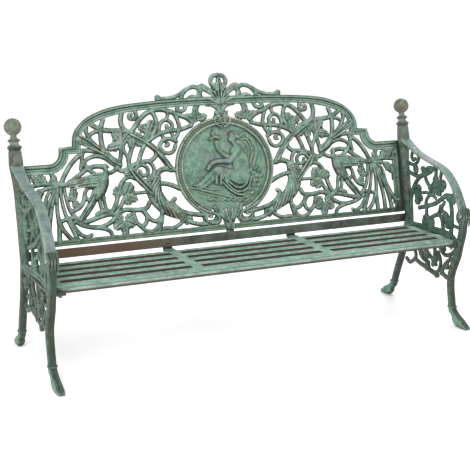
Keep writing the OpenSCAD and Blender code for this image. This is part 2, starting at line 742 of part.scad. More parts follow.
// Hexagon bolts from behind, screwed into the back of the plaque
module plaque_bolts() {
    back = -vine_t - plaque_tab_t;
    color(rust) plaque_axes() {
        translate([0, 0, back - head_t]) cylinder(h = head_t, r = nut_r, $fn = 6);
        translate([0, 0, back]) cylinder(h = plaque_tab_t + plaque_gap + plaque_grip, r = bolt_r);
    }
}

module seat_screws() {
    grip = seat_t + lug_t + 2 + nut_t + 3;
    color(rust) both_sides() seat_hole_axes() {
        translate([0, 0, -grip]) cylinder(h = grip, r = bolt_r);
        translate([0, 0, -head_t]) cylinder(h = head_t, r1 = bolt_r, r2 = head_r);
    }
}

module seat_washers() {
    color(rust) both_sides() seat_hole_axes() translate([0, 0, -seat_t - lug_t - 2]) difference() {
        cylinder(h = 2, r = nut_r * 1.3);
        translate([0, 0, -1]) cylinder(h = 4, r = hole_r);
    }
}

module seat_nuts() {
    color(rust) both_sides() seat_hole_axes() nut(-seat_t - lug_t - 2);
}

end_frame_left();
end_frame_right();
finial_left();
finial_right();
finial_studs();
back_panel();
medallion_plaque();
plaque_bolts();
rear_rail();
seat_casting();
panel_bolts();
panel_nuts();
rail_bolts();
rail_nuts();
seat_screws();
seat_washers();
seat_nuts();
tab_bolts();
tab_nuts();
lug_bolt();
lug_nut();
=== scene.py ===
import math

import bpy
import numpy as np
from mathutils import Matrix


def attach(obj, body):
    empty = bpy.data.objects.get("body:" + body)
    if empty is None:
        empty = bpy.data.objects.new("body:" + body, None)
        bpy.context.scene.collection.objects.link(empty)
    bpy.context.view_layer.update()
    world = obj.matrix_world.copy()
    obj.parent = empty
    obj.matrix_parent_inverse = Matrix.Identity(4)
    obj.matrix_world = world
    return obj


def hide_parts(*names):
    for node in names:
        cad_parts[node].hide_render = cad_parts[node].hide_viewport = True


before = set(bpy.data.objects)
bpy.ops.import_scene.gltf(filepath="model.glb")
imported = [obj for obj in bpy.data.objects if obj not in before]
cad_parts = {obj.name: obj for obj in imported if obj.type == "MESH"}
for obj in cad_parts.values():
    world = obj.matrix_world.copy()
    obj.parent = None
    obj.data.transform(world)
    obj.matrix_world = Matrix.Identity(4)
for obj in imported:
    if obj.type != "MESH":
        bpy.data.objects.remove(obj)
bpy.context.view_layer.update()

# Millimetres below, metres in the meshes. The panel's drawing has x along the bench, v up its
# slope and n to the front; an end frame's has d to the front, z up and n away from the bench.
MM = 0.001
RECLINE = math.radians(11.2)
PANEL_Y = 68.6                 # depth of the panel's front face at ground level
PANEL_X = 838.0                # half length of the panel
RING_V = 679.0                 # middle of the medallion
SEAT_Z = 366.0
END_X = 866.0                  # middle plane of an end frame
POST_BASE = 400.0              # height at which the post's axis has the depth POST_D
POST_TOP = 798.0
POST_D = -132.0
SIDES = ((1, "right"), (-1, "left"))
CELL = 2.2                     # fineness of the castings' skins

# ---------- curves and drawings ----------


def smooth(points, step=4.0, count=None):
    """Samples of a smooth curve through the points, step apart or count to each stretch."""
    p = np.array(points, float)
    p = np.vstack([2 * p[0] - p[1], p, 2 * p[-1] - p[-2]])
    out = []
    for a, b, c, d in zip(p, p[1:], p[2:], p[3:]):
        k = count or max(2, math.ceil(np.linalg.norm(c - b) / step))
        t = np.arange(k)[:, None] / k
        square, cube = 2 * a - 5 * b + 4 * c - d, 3 * b - a - 3 * c + d
        out.append(0.5 * (2 * b + (c - a) * t + square * t**2 + cube * t**3))
    return np.vstack(out + [p[-2:-1]])


def arc(centre, radius, start, end, count):
    """Points on a circle between two angles in degrees."""
    a = np.radians(np.linspace(start, end, count))
    return np.array(centre) + radius * np.stack([np.cos(a), np.sin(a)], 1)


def drawing(text):
    """Rows of points, written as pairs, with the row's plain numbers after them."""
    rows = []
    for line in text.splitlines():
        for row in line.split("#")[0].split(";"):
            words = row.split()
            if words:
                points = [tuple(map(float, word.split(","))) for word in words if "," in word]
                rows.append((points, *[float(word) for word in words if "," not in word]))
    return rows


# ---------- places ----------


def as_is(p):
    """The frame itself."""
    return p


def mirrored(p):
    """The mirror image on the bench's other side."""
    return p * np.array([-1, 1, 1])


def on_side(place, side):
    """A place of the right side, or its mirror image on the left."""
    return place if side > 0 else lambda p: mirrored(place(p))


def on_panel(p):
    """Row frame, from x, v, n of the back panel."""
    x, v, n = p[:, 0], p[:, 1], p[:, 2]
    return np.stack([x, PANEL_Y + v * math.sin(RECLINE) - n * math.cos(RECLINE),
                     v * math.cos(RECLINE) + n * math.sin(RECLINE)], 1)


def on_end(p):
    """Row frame, from d, z, n of the right end frame."""
    return np.stack([END_X + p[:, 2], -p[:, 0], p[:, 1]], 1)


def on_post(p):
    """Row frame, from a lathe's x, y, z with its foot at the top of the right post."""
    c, s = math.cos(RECLINE), math.sin(RECLINE)
    d = POST_D - (POST_TOP - POST_BASE) * math.tan(RECLINE)
    x, y, z = p[:, 0], p[:, 1], p[:, 2]
    return np.stack([END_X + x, -d + c * y + s * z, POST_TOP - s * y + c * z], 1)


# ---------- meshes ----------


def piece(name, points, faces, material, node, flip=False, normals=None):
    """A smooth-shaded piece that stands for a node, from points in millimetres and faces."""
    faces = [f[::-1] for f in faces] if flip else list(faces)
    sizes = np.array([len(f) for f in faces])
    mesh = bpy.data.meshes.new(name)
    mesh.vertices.add(len(points))
    mesh.vertices.foreach_set("co", (np.asarray(points, np.float32) * MM).ravel())
    mesh.loops.add(int(sizes.sum()))
    mesh.loops.foreach_set("vertex_index", np.concatenate(faces).astype(np.int32))
    mesh.polygons.add(len(sizes))
    mesh.polygons.foreach_set("loop_start", (np.cumsum(sizes) - sizes).astype(np.int32))
    mesh.polygons.foreach_set("use_smooth", np.ones(len(sizes), bool))
    mesh.update(calc_edges=True)
    if normals is not None:
        mesh.normals_split_custom_set_from_vertices(normals.tolist())
    mesh.materials.append(material)
    obj = bpy.data.objects.new(name, mesh)
    bpy.context.scene.collection.objects.link(obj)
    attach(obj, "root")
    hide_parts(node)
    return obj


def grid_faces(rows, columns, closed=False):
    """Quads of a grid of points that is stored row by row; closed joins each row's two ends."""
    i = np.arange(rows - 1)[:, None]
    j = np.arange(columns if closed else columns - 1)[None, :]
    j2 = (j + 1) % columns
    a, b = i * columns, (i + 1) * columns
    return np.stack([a + j, a + j2, b + j2, b + j], -1).reshape(-1, 4)


def bar_faces(rows, columns):
    """Faces of a bar that is a row of closed rings of points."""
    sides = [list(f) for f in grid_faces(rows, columns, True)]
    return sides + [list(range(columns))[::-1], [(rows - 1) * columns + j for j in range(columns)]]


def moulding(outer, inner, profile):
    """A bar between two matched lines; profile gives pairs of share across and height n."""
    back = [(share, profile[-1][1]) for share in (0.93, 0.5, 0.07)]
    share, n = np.array(profile + back, float).T
    flat = outer[:, None, :] * (1 - share[None, :, None]) + inner[:, None, :] * share[None, :, None]
    points = np.concatenate([flat, np.broadcast_to(n[None, :, None], flat.shape[:2] + (1,))], -1)
    return points.reshape(-1, 3), bar_faces(*points.shape[:2])


def lathe(outline, turns=64):
    """A turned solid from pairs of radius and height."""
    r, z = np.array(outline, float).T[:, :, None]
    a = np.linspace(0, 2 * math.pi, turns, endpoint=False)
    points = np.stack([r * np.cos(a), r * np.sin(a), z + 0 * a], -1)
    return points.reshape(-1, 3), grid_faces(len(outline), turns, True)[:, ::-1]


def plate(upper, lower, quads):
    """Quads over the upper points, the same ones under them and walls round every edge."""
    edges = np.vstack([quads[:, [k, (k + 1) % 4]] for k in range(4)])
    key = edges.min(1) * len(upper) + edges.max(1)
    _, first, uses = np.unique(key, return_index=True, return_counts=True)
    rim = edges[first[uses == 1]]
    walls = np.hstack([rim[:, ::-1], rim + len(upper)])
    used, faces = np.unique(np.vstack([quads, quads[:, ::-1] + len(upper), walls]), return_inverse=True)
    return np.vstack([upper, lower])[used], faces.reshape(-1, 4)


# ---------- a block of space that holds the distance to a casting's skin ----------


class Block:
    """Cells that are negative inside the casting and positive outside it."""

    OUTSIDE = 40.0

    def __init__(self, low, high, cell):
        self.low = np.array(low, float)
        self.cell = cell
        size = np.ceil((np.array(high) - self.low) / cell).astype(int) + 1
        self.value = np.full(size, self.OUTSIDE, np.float32)
        self.u, self.w, self.n = (self.low[k] + cell * np.arange(size[k]) for k in range(3))

    def window(self, low, high):
        """The columns between two corners of the drawing, with their u and w, or None."""
        a = np.floor((np.array(low) - self.low[:2]) / self.cell).astype(int)
        b = np.ceil((np.array(high) - self.low[:2]) / self.cell).astype(int) + 1
        part = tuple(slice(max(a[k], 0), max(b[k], 0)) for k in range(2))
        u, w = self.u[part[0]][:, None], self.w[part[1]][None, :]
        return (part, u, w) if u.size and w.size else None

    def join(self, part, distance, blend):
        """Adds a shape with a fillet of size blend where it meets the rest."""
        old = self.value[part]
        h = np.clip(0.5 + 0.5 * (distance - old) / blend, 0, 1)
        self.value[part] = distance * (1 - h) + old * h - blend * h * (1 - h)

    def tube(self, points, w0, w1, centre=-5.0, bow=0.0, flat=6.2, blend=2.6):
        """A stem of changing width along a curve; bow lifts its middle to the front."""
        line = smooth(points, 5.0)
        share = np.linspace(0, 1, len(line))
        radius = (w0 + (w1 - w0) * share) / 2
        middle = centre + bow * np.sin(math.pi * share)
        reach = radius.max() + 3 * blend + 2 * self.cell
        found = self.window(line.min(0) - reach, line.max(0) + reach)
        if not found:
            return
        part, u, w = found
        near = np.full((u.shape[0], w.shape[1]), 1e6, np.float32)
        size = np.full_like(near, w0 / 2)
        level = np.full_like(near, centre)
        for k in range(len(line) - 1):
            a, b = line[k], line[k + 1]
            low, high = np.minimum(a, b) - reach, np.maximum(a, b) + reach
            i = slice(*np.searchsorted(u[:, 0], [low[0], high[0]]))
            j = slice(*np.searchsorted(w[0], [low[1], high[1]]))
            du, dw = u[i] - a[0], w[:, j] - a[1]
            t = np.clip((du * (b - a)[0] + dw * (b - a)[1]) / np.dot(b - a, b - a), 0, 1)
            d = np.hypot(du - t * (b - a)[0], dw - t * (b - a)[1])
            closer = d < near[i, j]
            near[i, j] = np.where(closer, d, near[i, j])
            size[i, j] = np.where(closer, radius[k] + t * (radius[k + 1] - radius[k]), size[i, j])
            level[i, j] = np.where(closer, middle[k] + t * (middle[k + 1] - middle[k]), level[i, j])
        depth = np.minimum(size, flat)[:, :, None]
        across = (near / size)[:, :, None]
        out = np.sqrt(across**2 + ((self.n - level[:, :, None]) / depth) ** 2)
        self.join(part, (out - 1) * depth, blend)

    def leaf(self, base, tip, half, centre=-5.0, back=5.0):
        """A lobed, veined leaf; back is its thickness behind, None makes both faces alike."""
        base, tip = np.array(base, float), np.array(tip, float)
        length = np.linalg.norm(tip - base)
        axis = (tip - base) / length
        reach = half * 1.3 + 6
        found = self.window(np.minimum(base, tip) - reach, np.maximum(base, tip) + reach)
        if not found:
            return
        part, u, w = found
        u, w = u - base[0], w - base[1]
        t = (u * axis[0] + w * axis[1]) / length
        s = np.abs(w * axis[0] - u * axis[1])
        inner = np.clip(t, 0, 1)
        lobes = 1 + 0.13 * np.cos(2 * math.pi * (inner * 3 - 0.4))
        width = half * (0.35 + 0.72 * np.sin(math.pi * inner**0.8)) * lobes
        width = width * np.sqrt(np.clip((1 - inner) / 0.15, 0.02, 1))
        edge = np.maximum.reduce([(s - width) * 0.8, -t * length, (t - 1) * length])
        crown = 5.0 * (1 - np.clip(s / width, 0, 1) ** 2)
        ribs = 0.45 * np.cos(2 * math.pi * (4 * inner - 1.1 * s / half)) * np.clip(s / 3, 0, 1)
        groove = 3.4 * np.exp(-((s / 2.2) ** 2))
        front = 4.2 + crown + ribs - groove
        behind = front if back is None else np.full_like(front, back)
        self.join(part, np.maximum.reduce([
            np.broadcast_to(edge[:, :, None], edge.shape + self.n.shape),
            (self.n - centre - front[:, :, None]) * 0.8,
            (centre - self.n - behind[:, :, None]) * 0.8]), 0.9)

    def ball(self, centre, radii, blend=2.0):
        """A rounded lump."""
        centre, radii = np.array(centre, float), np.array(radii, float)
        found = self.window(centre[:2] - radii[:2] - 8, centre[:2] + radii[:2] + 8)
        if not found:
            return
        part, u, w = found
        u, w = u[:, :, None], w[:, :, None]
        out = np.sqrt(((u - centre[0]) / radii[0]) ** 2 + ((w - centre[1]) / radii[1]) ** 2
                      + ((self.n - centre[2]) / radii[2]) ** 2)
        self.join(part, (out - 1) * radii.min(), blend)

    def skin(self):
        """Points and quads of the surface between the inside and the outside."""
        f = self.value
        cells = np.array(f.shape) - 1
        total = int(cells.prod())
        count, place = np.zeros(total), np.zeros((total, 3))
        crossings = []
        for axis in range(3):
            fa = np.take(f, range(0, cells[axis]), axis)
            fb = np.take(f, range(1, cells[axis] + 1), axis)
            hit = (fa < 0) != (fb < 0)
            corner = np.argwhere(hit)
            point = corner.astype(float)
            point[:, axis] += fa[hit] / (fa[hit] - fb[hit])
            ring, inside = [], np.ones(len(corner), bool)
            for d1, d2 in ((1, 1), (0, 1), (0, 0), (1, 0)):
                c = corner.copy()
                c[:, (axis + 1) % 3] -= d1
                c[:, (axis + 2) % 3] -= d2
                ok = ((c >= 0) & (c < cells)).all(1)
                inside &= ok
                number = (c[:, 0] * cells[1] + c[:, 1]) * cells[2] + c[:, 2]
                count += np.bincount(number[ok], minlength=total)
                for k in range(3):
                    place[:, k] += np.bincount(number[ok], weights=point[ok, k], minlength=total)
                ring.append(number)
            quads = np.stack(ring, 1)[inside]
            outward = (fa[hit] < 0)[inside]
            crossings.append(np.where(outward[:, None], quads, quads[:, ::-1]))
        used = count > 0
        points = self.low + self.cell * place[used] / count[used][:, None]
        return points, (np.cumsum(used) - 1)[np.vstack(crossings)]


def point_normals(points, quads):
    """Average direction of the faces round each point."""
    p = points[quads]
    face = np.cross(p[:, 2] - p[:, 0], p[:, 3] - p[:, 1])
    out = np.zeros_like(points)
    for k in range(4):
        for a in range(3):
            out[:, a] += np.bincount(quads[:, k], weights=face[:, a], minlength=len(points))
    return out / np.maximum(np.linalg.norm(out, axis=1), 1e-12)[:, None]


def casting(name, block, place, cuts, material, nodes, flip=False):
    """The skin of a block and its mirror image, cut into pieces along the block's first axis."""
    points, quads = block.skin()
    centre = points[quads][:, :, 0].mean(1)
    world = place(points)
    if flip:
        quads = quads[:, ::-1]
    normals = point_normals(world, quads)
    for k, (a, b) in enumerate(zip(cuts, cuts[1:])):
        used, faces = np.unique(quads[(centre > a) & (centre <= b)], return_inverse=True)
        faces = faces.reshape(-1, 4)
        for (side, label), node in zip(SIDES, nodes):
            turn = on_side(as_is, side)
            piece(f"{name}_{label}_{k}", turn(world[used]), faces, material, node, side < 0,
                  turn(normals[used]))


# ---------- the castings' drawings ----------

# Stems have a width at their start and at their end, leaves half a width at their middle.
VINES = drawing("""
# upper stems between the medallion and the arched rail
128,872 155,893 190,906 230,924 275,931 320,920 352,896 378,866 392,846  13 14
135,860 180,847 240,842 290,828 335,800 358,765 372,729  12 12
238,690 262,728 298,774 340,810 385,840 430,854 480,858 520,866 552,884  21 13
203,908 192,880 188,852 198,828 214,806  10 10
276,842 274,862 262,881 243,888 224,879 217,863 226,851 240,855 241,866  10 9
236,922 233,906 243,890  8 8
205,800 238,813 266,805 278,785 266,763 243,754 221,762 210,785  10 10
262,806 248,800 240,789 250,785  8 9
226,843 220,828 214,806  8 8
268,838 262,822 250,812  8 8
277,785 290,776 302,772  8 8
300,924 288,900 285,876 292,852 306,830  12 11
426,926 433,895 427,868 408,848  14 13
372,934 366,912 376,900 394,902 396,914 388,918  11 10
152,942 160,925 178,920 192,928 186,938  10 9
# stems that hang from the leaf rosette down to the scroll
398,846 393,800 403,765 413,735 411,706 404,688  12 12
430,800 431,780 421,757 413,737  8 8
436,852 441,810 442,770 450,737 464,711 486,696 506,692  12 11
293,766 300,745 322,730 358,727 392,718 420,704 446,697 462,708  12 12
328,726 313,706 312,680 326,660 350,651 374,660  10 10
396,664 392,692 376,712 355,714 339,702 337,684 350,672 366,678 370,692  10 9
322,605 345,626 372,652 392,678 408,706  24 16
392,664 415,672 438,664 455,645 462,622  11 11
325,608 352,606 400,606  8 8
470,612 476,585 488,558 505,536  13 12
440,596 452,575 465,556 478,538  11 11
# the branch under the bird
343,562 352,546 376,538 410,540 448,543 480,531 520,531 560,522 600,511 626,508  13 13
505,538 530,546 560,535  16 14
478,528 505,502 545,486 588,488 622,498 650,515  13 11
505,442 516,466 546,479 588,487  10 10
# reeds above the bird
505,902 517,870 520,840 518,805 510,770  12 15
524,860 550,854 570,840  10 9
512,776 492,748 458,724  28 30
512,770 545,795 583,818 612,832  18 26
514,778 542,802 566,832 578,862 574,880  12 10
512,765 550,781 590,787 612,785  11 11
505,752 540,763 572,758 596,742 606,726  14 8
# stems round the bird
600,776 630,757 660,725 682,690 698,660  13 13
604,784 604,750 612,716  11 8
512,716 545,723 582,717 612,698 640,680 668,664  13 12
545,684 566,700 586,718 600,742  11 10
560,618 578,582 600,552 628,520  28 20
562,642 590,640 604,619 597,598 578,592  9 9
606,612 612,590 630,568 662,555  10 12
530,600 526,570 520,545  9 8
548,596 545,570 540,548  9 8
# fan of stems beside the post
684,655 680,610 670,565 652,535 626,510  6 12
697,655 698,605 690,555 676,515 660,475 646,442  6 12
708,650 717,600 719,555 716,515 718,480 720,442  6 14
715,650 732,600 746,545 755,500 758,446  6 14
719,650 742,605 764,550 781,500 792,446  6 14
722,652 748,632 762,600 767,570 780,540 800,500 816,480  6 14
672,520 655,490 635,465 610,452 590,458  13 9
714,520 702,488 684,462 664,442  11 12
626,520 660,530 690,525 718,518  10 10
684,660 704,662 740,668 776,668 818,662  16 10
712,654 745,652 775,643 818,622  9 12
730,710 722,686 708,664  14 10
# acanthus horn beside the medallion
300,668 300,630 296,596 272,558 232,522 192,488  24 16
328,660 336,618 328,578 300,540 262,514 215,496  24 18
312,668 318,625 312,585 282,545 240,515 196,488  26 18
204,608 250,629 300,640  14 13
214,684 240,690 272,692 300,676 315,650  15 18
# scrolls along the bottom rail
78,493 120,495 165,503 205,517 233,540 243,560 232,570  14 13
60,462 108,456 150,462 182,474 202,486  13 12
196,490 214,469 246,454 284,455 300,444  11 11
292,520 295,492 302,470 312,444  12 12
298,500 318,487 342,497 364,524 378,540  12 13
364,530 357,502 368,478 388,476 404,494 412,524  11 12
306,488 315,463 340,448 370,456 388,474  10 10
60,520 52,492 62,468 88,462 108,474 108,490 94,497 84,488  13 9
""")

LEAVES = drawing("""
112,872 110,944 13; 104,884 62,898 14; 118,884 164,902 14; 322,850 300,893 15; 326,850 364,870 15
312,852 340,815 13; 385,815 338,790 13; 392,838 398,778 16; 408,838 440,800 15; 440,812 470,856 16
440,800 500,788 16; 384,836 348,830 10; 440,600 412,652 24; 462,596 476,640 18; 442,598 388,578 16
436,592 420,560 16; 650,598 648,655 14; 648,600 678,612 10; 648,598 636,556 12; 758,668 782,712 14
785,664 808,712 10; 770,648 814,600 15; 735,665 712,700 11; 450,500 406,478 18; 455,500 500,472 18
452,498 452,440 16; 446,505 410,524 12; 458,506 484,524 12; 190,486 160,478 13; 186,484 188,458 11
192,488 214,500 12; 404,690 440,684 11
""")

BLADES = drawing("""
514,778 546,804 578,828 604,846 10 11; 518,770 552,788 586,806 608,816 10 11
462,732 486,752 504,776 10 11; 450,722 480,738 508,764 10 11
322,606 350,640 380,676 404,706 10 11; 336,602 366,636 394,668 412,700 10 11
244,698 272,738 310,780 352,812 398,838 10 11; 566,612 586,580 612,548 632,520 10 11
""")

CREST = drawing("""
0,1060 22,1056 34,1038 27,1018 8,1000  11 13
12,984 36,1000 62,1014  7 7
12,962 34,984 66,1003  7 8
60,1010 74,1018 90,1010  16 13
88,1008 110,1016 135,1010 160,996 190,981 225,974 268,973  12 10
268,968 270,978  18 20
150,1002 164,984 170,960  12 14
80,1006 88,985 84,960  14 24
84,965 98,948 108,930  20 18
98,966 120,976 148,964  14 8
8,948 42,964 75,964  12 12
8,896 14,922 34,938 60,942  11 10
4,906 22,894 34,866  16 12
""")

ARM = [(-206, 744), (-180, 733), (-155, 720), (-90, 692), (-30, 676), (30, 664), (70, 656), (120, 641),
       (150, 623), (180, 598), (205, 570), (222, 546), (240, 518), (254, 488), (268, 470)]
FRONT_LEG = [(262, 480), (256, 400), (243, 350), (231, 300), (208, 245), (195, 200), (196, 150),
             (206, 100), (214, 56)]
REAR_LEG = [(-132, 400), (-150, 320), (-175, 220), (-202, 150), (-220, 100), (-232, 60)]
LEDGE = [(-140, 372), (-80, 374), (-20, 378), (50, 382), (110, 384), (170, 380), (208, 366), (230, 338)]

ARM_VINES = drawing("""
-110,370 -114,420 -120,470 -112,515 -92,552 -64,582 -30,600 10,616 36,636 60,650  18 12
-168,604 -130,592 -84,586 -40,597  12 12
-168,640 -118,632 -86,644 -72,668 -88,690 -116,690 -128,668 -116,652 -102,660  10 9
-24,600 -12,578 8,560 28,548  12 12
60,656 52,628 58,600  10 10
94,648 96,628 90,610  10 10
-146,506 -118,514 -84,508 -46,518 -4,526 34,522 60,514  9 9
-56,450 -18,462 24,476 62,492 100,516 132,536 164,540  13 16
-8,470 -2,496 18,516 44,528  10 10
-2,472 0,436 8,410  10 12
34,424 60,438 88,450 100,484  12 14
85,452 112,436 122,410 126,378  12 14
124,506 108,482 112,466 140,460 160,442  10 12
156,534 172,494 178,450 180,415 178,378  16 18
176,424 204,420 232,418  9 9
""")

ARM_LEAVES = drawing("""
-100,632 -86,596 13; -20,606 -56,632 13; -20,610 30,642 14; 70,562 54,612 18; 74,566 126,585 22
66,558 4,546 18; 70,556 96,528 15; -94,520 -48,542 18; -90,500 -38,488 16; -86,484 -58,464 12
16,428 -18,384 18; 30,424 42,378 20; 170,508 196,562 16; 164,518 138,548 13; 160,442 114,440 18
168,432 146,398 14
""")

APRON_VINES = drawing("""
-136,204 -112,192 -86,206 -66,232 -80,256 -104,250  13 9
-170,262 -140,300 -100,318 -60,300 -40,262 -14,232 30,224  12 12
-66,214 -30,206 10,200 50,192 90,184  14 18
-20,340 -12,300 14,268 48,250 84,226  12 12
50,340 66,300 70,262 62,222  12 16
90,340 112,306 150,284 196,300 222,330  12 12
84,188 110,212 116,250 96,284  12 10
126,196 140,232 168,262 206,280  12 12
204,196 168,190 132,200  16 14
-120,340 -80,334 -50,320  12 12
""")

APRON_LEAVES = drawing("""
-14,236 -46,270 14; 20,220 30,184 16; 30,240 6,280 16; 66,250 100,262 14; 92,190 92,168 12
150,250 176,228 14; 140,296 120,330 14; -98,316 -112,272 14
""")

# ---------- materials ----------


class Nodes:
    """Short calls that add shader nodes to one material."""

    def __init__(self, name):
        self.material = bpy.data.materials.new(name)
        self.material.use_nodes = True
        self.tree = self.material.node_tree
        self.tree.nodes.clear()
        coordinates = self.add("ShaderNodeTexCoord")
        self.place = coordinates.outputs["Object"]
        self.normal = coordinates.outputs["Normal"]

    def add(self, kind, **values):
        node = self.tree.nodes.new(kind)
        for key, value in values.items():
            setattr(node, key, value)
        return node

    def plug(self, value, socket):
        """Sets a socket to a number or a colour, or links another node's output to it."""
        if isinstance(value, bpy.types.NodeSocket):
            self.tree.links.new(value, socket)
        else:
            socket.default_value = value

    def noise(self, scale, detail=4.0, rough=0.55, distort=0.0, offset=(0, 0, 0)):
        mapping = self.add("ShaderNodeMapping")
        self.plug(offset, mapping.inputs["Location"])
        self.plug(self.place, mapping.inputs["Vector"])
        node = self.add("ShaderNodeTexNoise")
        for key, value in (("Vector", mapping.outputs["Vector"]), ("Scale", scale), ("Detail", detail),
                           ("Roughness", rough), ("Distortion", distort)):
            self.plug(value, node.inputs[key])
        return node.outputs["Fac"]

    def ramp(self, value, low, high, bottom=0.0, top=1.0, kind="SMOOTHSTEP"):
        node = self.add("ShaderNodeMapRange", interpolation_type=kind)
        for key, number in (("Value", value), ("From Min", low), ("From Max", high), ("To Min", bottom),
                            ("To Max", top)):
            self.plug(number, node.inputs[key])
        return node.outputs["Result"]

    def times(self, a, b):
        node = self.add("ShaderNodeMath", operation="MULTIPLY")
        self.plug(a, node.inputs[0])
        self.plug(b, node.inputs[1])
        return node.outputs[0]

    def mix(self, share, a, b):
        node = self.add("ShaderNodeMix", data_type="RGBA")
        for value, socket in ((share, 0), (a, 6), (b, 7)):
            self.plug(value, node.inputs[socket])
        return node.outputs[2]

    def along(self, axis):
        """The place along X, Y or Z in metres."""
        node = self.add("ShaderNodeSeparateXYZ")
        self.plug(self.place, node.inputs[0])
        return node.outputs[axis]

    def turned_to(self, direction, both_ways):
        """How far the skin faces a direction, 1 when it looks straight that way."""
        node = self.add("ShaderNodeVectorMath", operation="DOT_PRODUCT")
        self.plug(self.normal, node.inputs[0])
        self.plug(direction, node.inputs[1])
        if not both_ways:
            return node.outputs["Value"]
        size = self.add("ShaderNodeMath", operation="ABSOLUTE")
        self.plug(node.outputs["Value"], size.inputs[0])
        return size.outputs[0]

    def bump(self, height, strength, distance, under=None):
        node = self.add("ShaderNodeBump")
        self.plug(height, node.inputs["Height"])
        self.plug(strength, node.inputs["Strength"])
        self.plug(distance, node.inputs["Distance"])
        if under is not None:
            self.plug(under, node.inputs["Normal"])
        return node.outputs["Normal"]

    def finish(self, colour, roughness, specular=0.5, normal=None):
        """The shader and the material that it makes."""
        shader = self.add("ShaderNodeBsdfPrincipled")
        self.plug(colour, shader.inputs["Base Color"])
        self.plug(roughness, shader.inputs["Roughness"])
        self.plug(specular, shader.inputs["Specular IOR Level"])
        if normal is not None:
            self.plug(normal, shader.inputs["Normal"])
        out = self.add("ShaderNodeOutputMaterial")
        self.plug(shader.outputs["BSDF"], out.inputs["Surface"])
        return self.material


def rgb(*values):
    """Scene colour from the eight-bit values seen on the paint."""
    return tuple(((c / 255 + 0.055) / 1.055) ** 2.4 for c in values) + (1.0,)


DEEP = rgb(44, 64, 54)
GREEN = rgb(86, 122, 104)
MINT = rgb(132, 166, 148)
PALE = rgb(186, 196, 176)
MAUVE = rgb(126, 126, 134)
BROWN = rgb(92, 68, 52)
RUST = rgb(126, 90, 64)
# near-black: the fasteners' own dark iron, and also the colour of painted shade under the seat and in
# hollows
SOOT_AND_SHADE = rgb(30, 34, 28)
BARE_BAR = rgb(86, 60, 44)


def mottled_paint(m, dark, body, light, rust, mauve, fresh, seed):
    """Old paint in cloudy patches, with rust spots; returns its colour, patches, mottle and spots."""
    shift = (seed, seed * 1.7, seed * 0.6)
    broad = m.ramp(m.noise(9.0, 6.0, 0.66, 0.6, shift), 0.34, 0.66)
    mottle = m.ramp(m.noise(38.0, 6.0, 0.68, 0.6, shift), 0.34, 0.68)
    colour = m.mix(broad, dark, body)
    colour = m.mix(m.times(mottle, fresh), colour, light)
    clouds = m.ramp(m.noise(11.0, 4.0, 0.6, 0.8, (seed + 5, 3, 1)), 0.52, 0.70)
    colour = m.mix(m.times(clouds, mauve), colour, MAUVE)
    grains = m.noise(22.0, 9.0, 0.72, 0.5, (2, seed + 8, 4))
    spots = m.ramp(grains, 0.62 - 0.16 * rust, 0.74 - 0.10 * rust)
    colour = m.mix(m.times(spots, min(1.0, 0.35 + rust)), colour, m.mix(mottle, BROWN, RUST))
    return colour, broad, mottle, spots


def shade_under_seat(m, colour, mottle, light, below):
    """Painted shade under the seat: dark brown from the height below down to the hooves, which are paler
    again.
    """
    height = m.along("Z")
    shade = m.times(m.ramp(height, below + 0.01, below - 0.02), m.ramp(height, 0.08, 0.20))
    colour = m.mix(m.times(shade, 0.35), colour, m.mix(mottle, SOOT_AND_SHADE, BROWN))
    return m.mix(m.times(m.ramp(height, 0.085, 0.05), 0.5), colour, m.mix(mottle, light, MINT))


def patina(name, dark=DEEP, body=GREEN, light=MINT, edge=PALE, rust=0.35, mauve=0.2, fresh=0.5,
           hollow_shade=0.8, seed=0.0, facing=None, both_ways=False, side=DEEP, shade_share=0.75, front=0.95,
           fall=0.5, below=None, wear_and_highlight=(0.51, 0.60), hollow=(0.495, 0.42), bare_end=False):
    """Weathered paint: mottled and brown where it has rusted; pale on its edges, partly worn paint and
    partly painted highlight; painted shade in corners and hollows.

    Skin that is turned away from facing takes the colour side, as painted shade; below paints shade
    under the seat onto the legs and bare_end shows the rear rail's iron at its left end.
    """
    m = Nodes(name)
    colour, broad, mottle, spots = mottled_paint(m, dark, body, light, rust, mauve, fresh, seed)
    # painted shade: the legs are darkened from the seat's height down towards the ground
    if below:
        colour = shade_under_seat(m, colour, mottle, light, below)
    # painted shade: skin turned away from the facing direction is mixed towards the dark side colour
    if facing:
        turned = m.ramp(m.turned_to(facing, both_ways), front, front - fall)
        colour = m.mix(m.times(turned, shade_share), colour, side)
    # pale convex edges: partly worn paint, partly a painted highlight
    shape = m.add("ShaderNodeNewGeometry").outputs["Pointiness"]
    scuffs = m.ramp(m.noise(30.0, 5.0, 0.7, 0.0, (7, 1, seed)), 0.38, 0.6)
    colour = m.mix(m.times(m.times(m.ramp(shape, *wear_and_highlight), scuffs), 0.75), colour, edge)
    # painted shade: hollows and creases found by pointiness are darkened
    colour = m.mix(m.times(m.ramp(shape, *hollow), hollow_shade), colour, m.mix(broad, SOOT_AND_SHADE, DEEP))
    # painted shade: ambient occlusion darkens recesses and the sides of stems
    occlusion_node = m.add("ShaderNodeAmbientOcclusion", samples=6)
    occlusion_node.inputs["Distance"].default_value = 0.022
    occlusion_shade = m.times(m.ramp(occlusion_node.outputs["AO"], 0.75, 0.25), hollow_shade)
    colour = m.mix(occlusion_shade, colour, m.mix(spots, DEEP, BROWN))
    if bare_end:
        colour = m.mix(m.ramp(m.along("X"), -0.45, -0.15, 0.85, 0.12, "LINEAR"), colour, BARE_BAR)
    coarse = m.bump(m.noise(90.0, 5.0, 0.65, 0.3), 0.35, 0.0016)
    fine = m.bump(m.noise(420.0, 3.0, 0.6), 0.25, 0.0006, coarse)
    return m.finish(colour, m.ramp(m.noise(60.0, 4.0, 0.6), 0.3, 0.7, 0.48, 0.72), 0.42, fine)


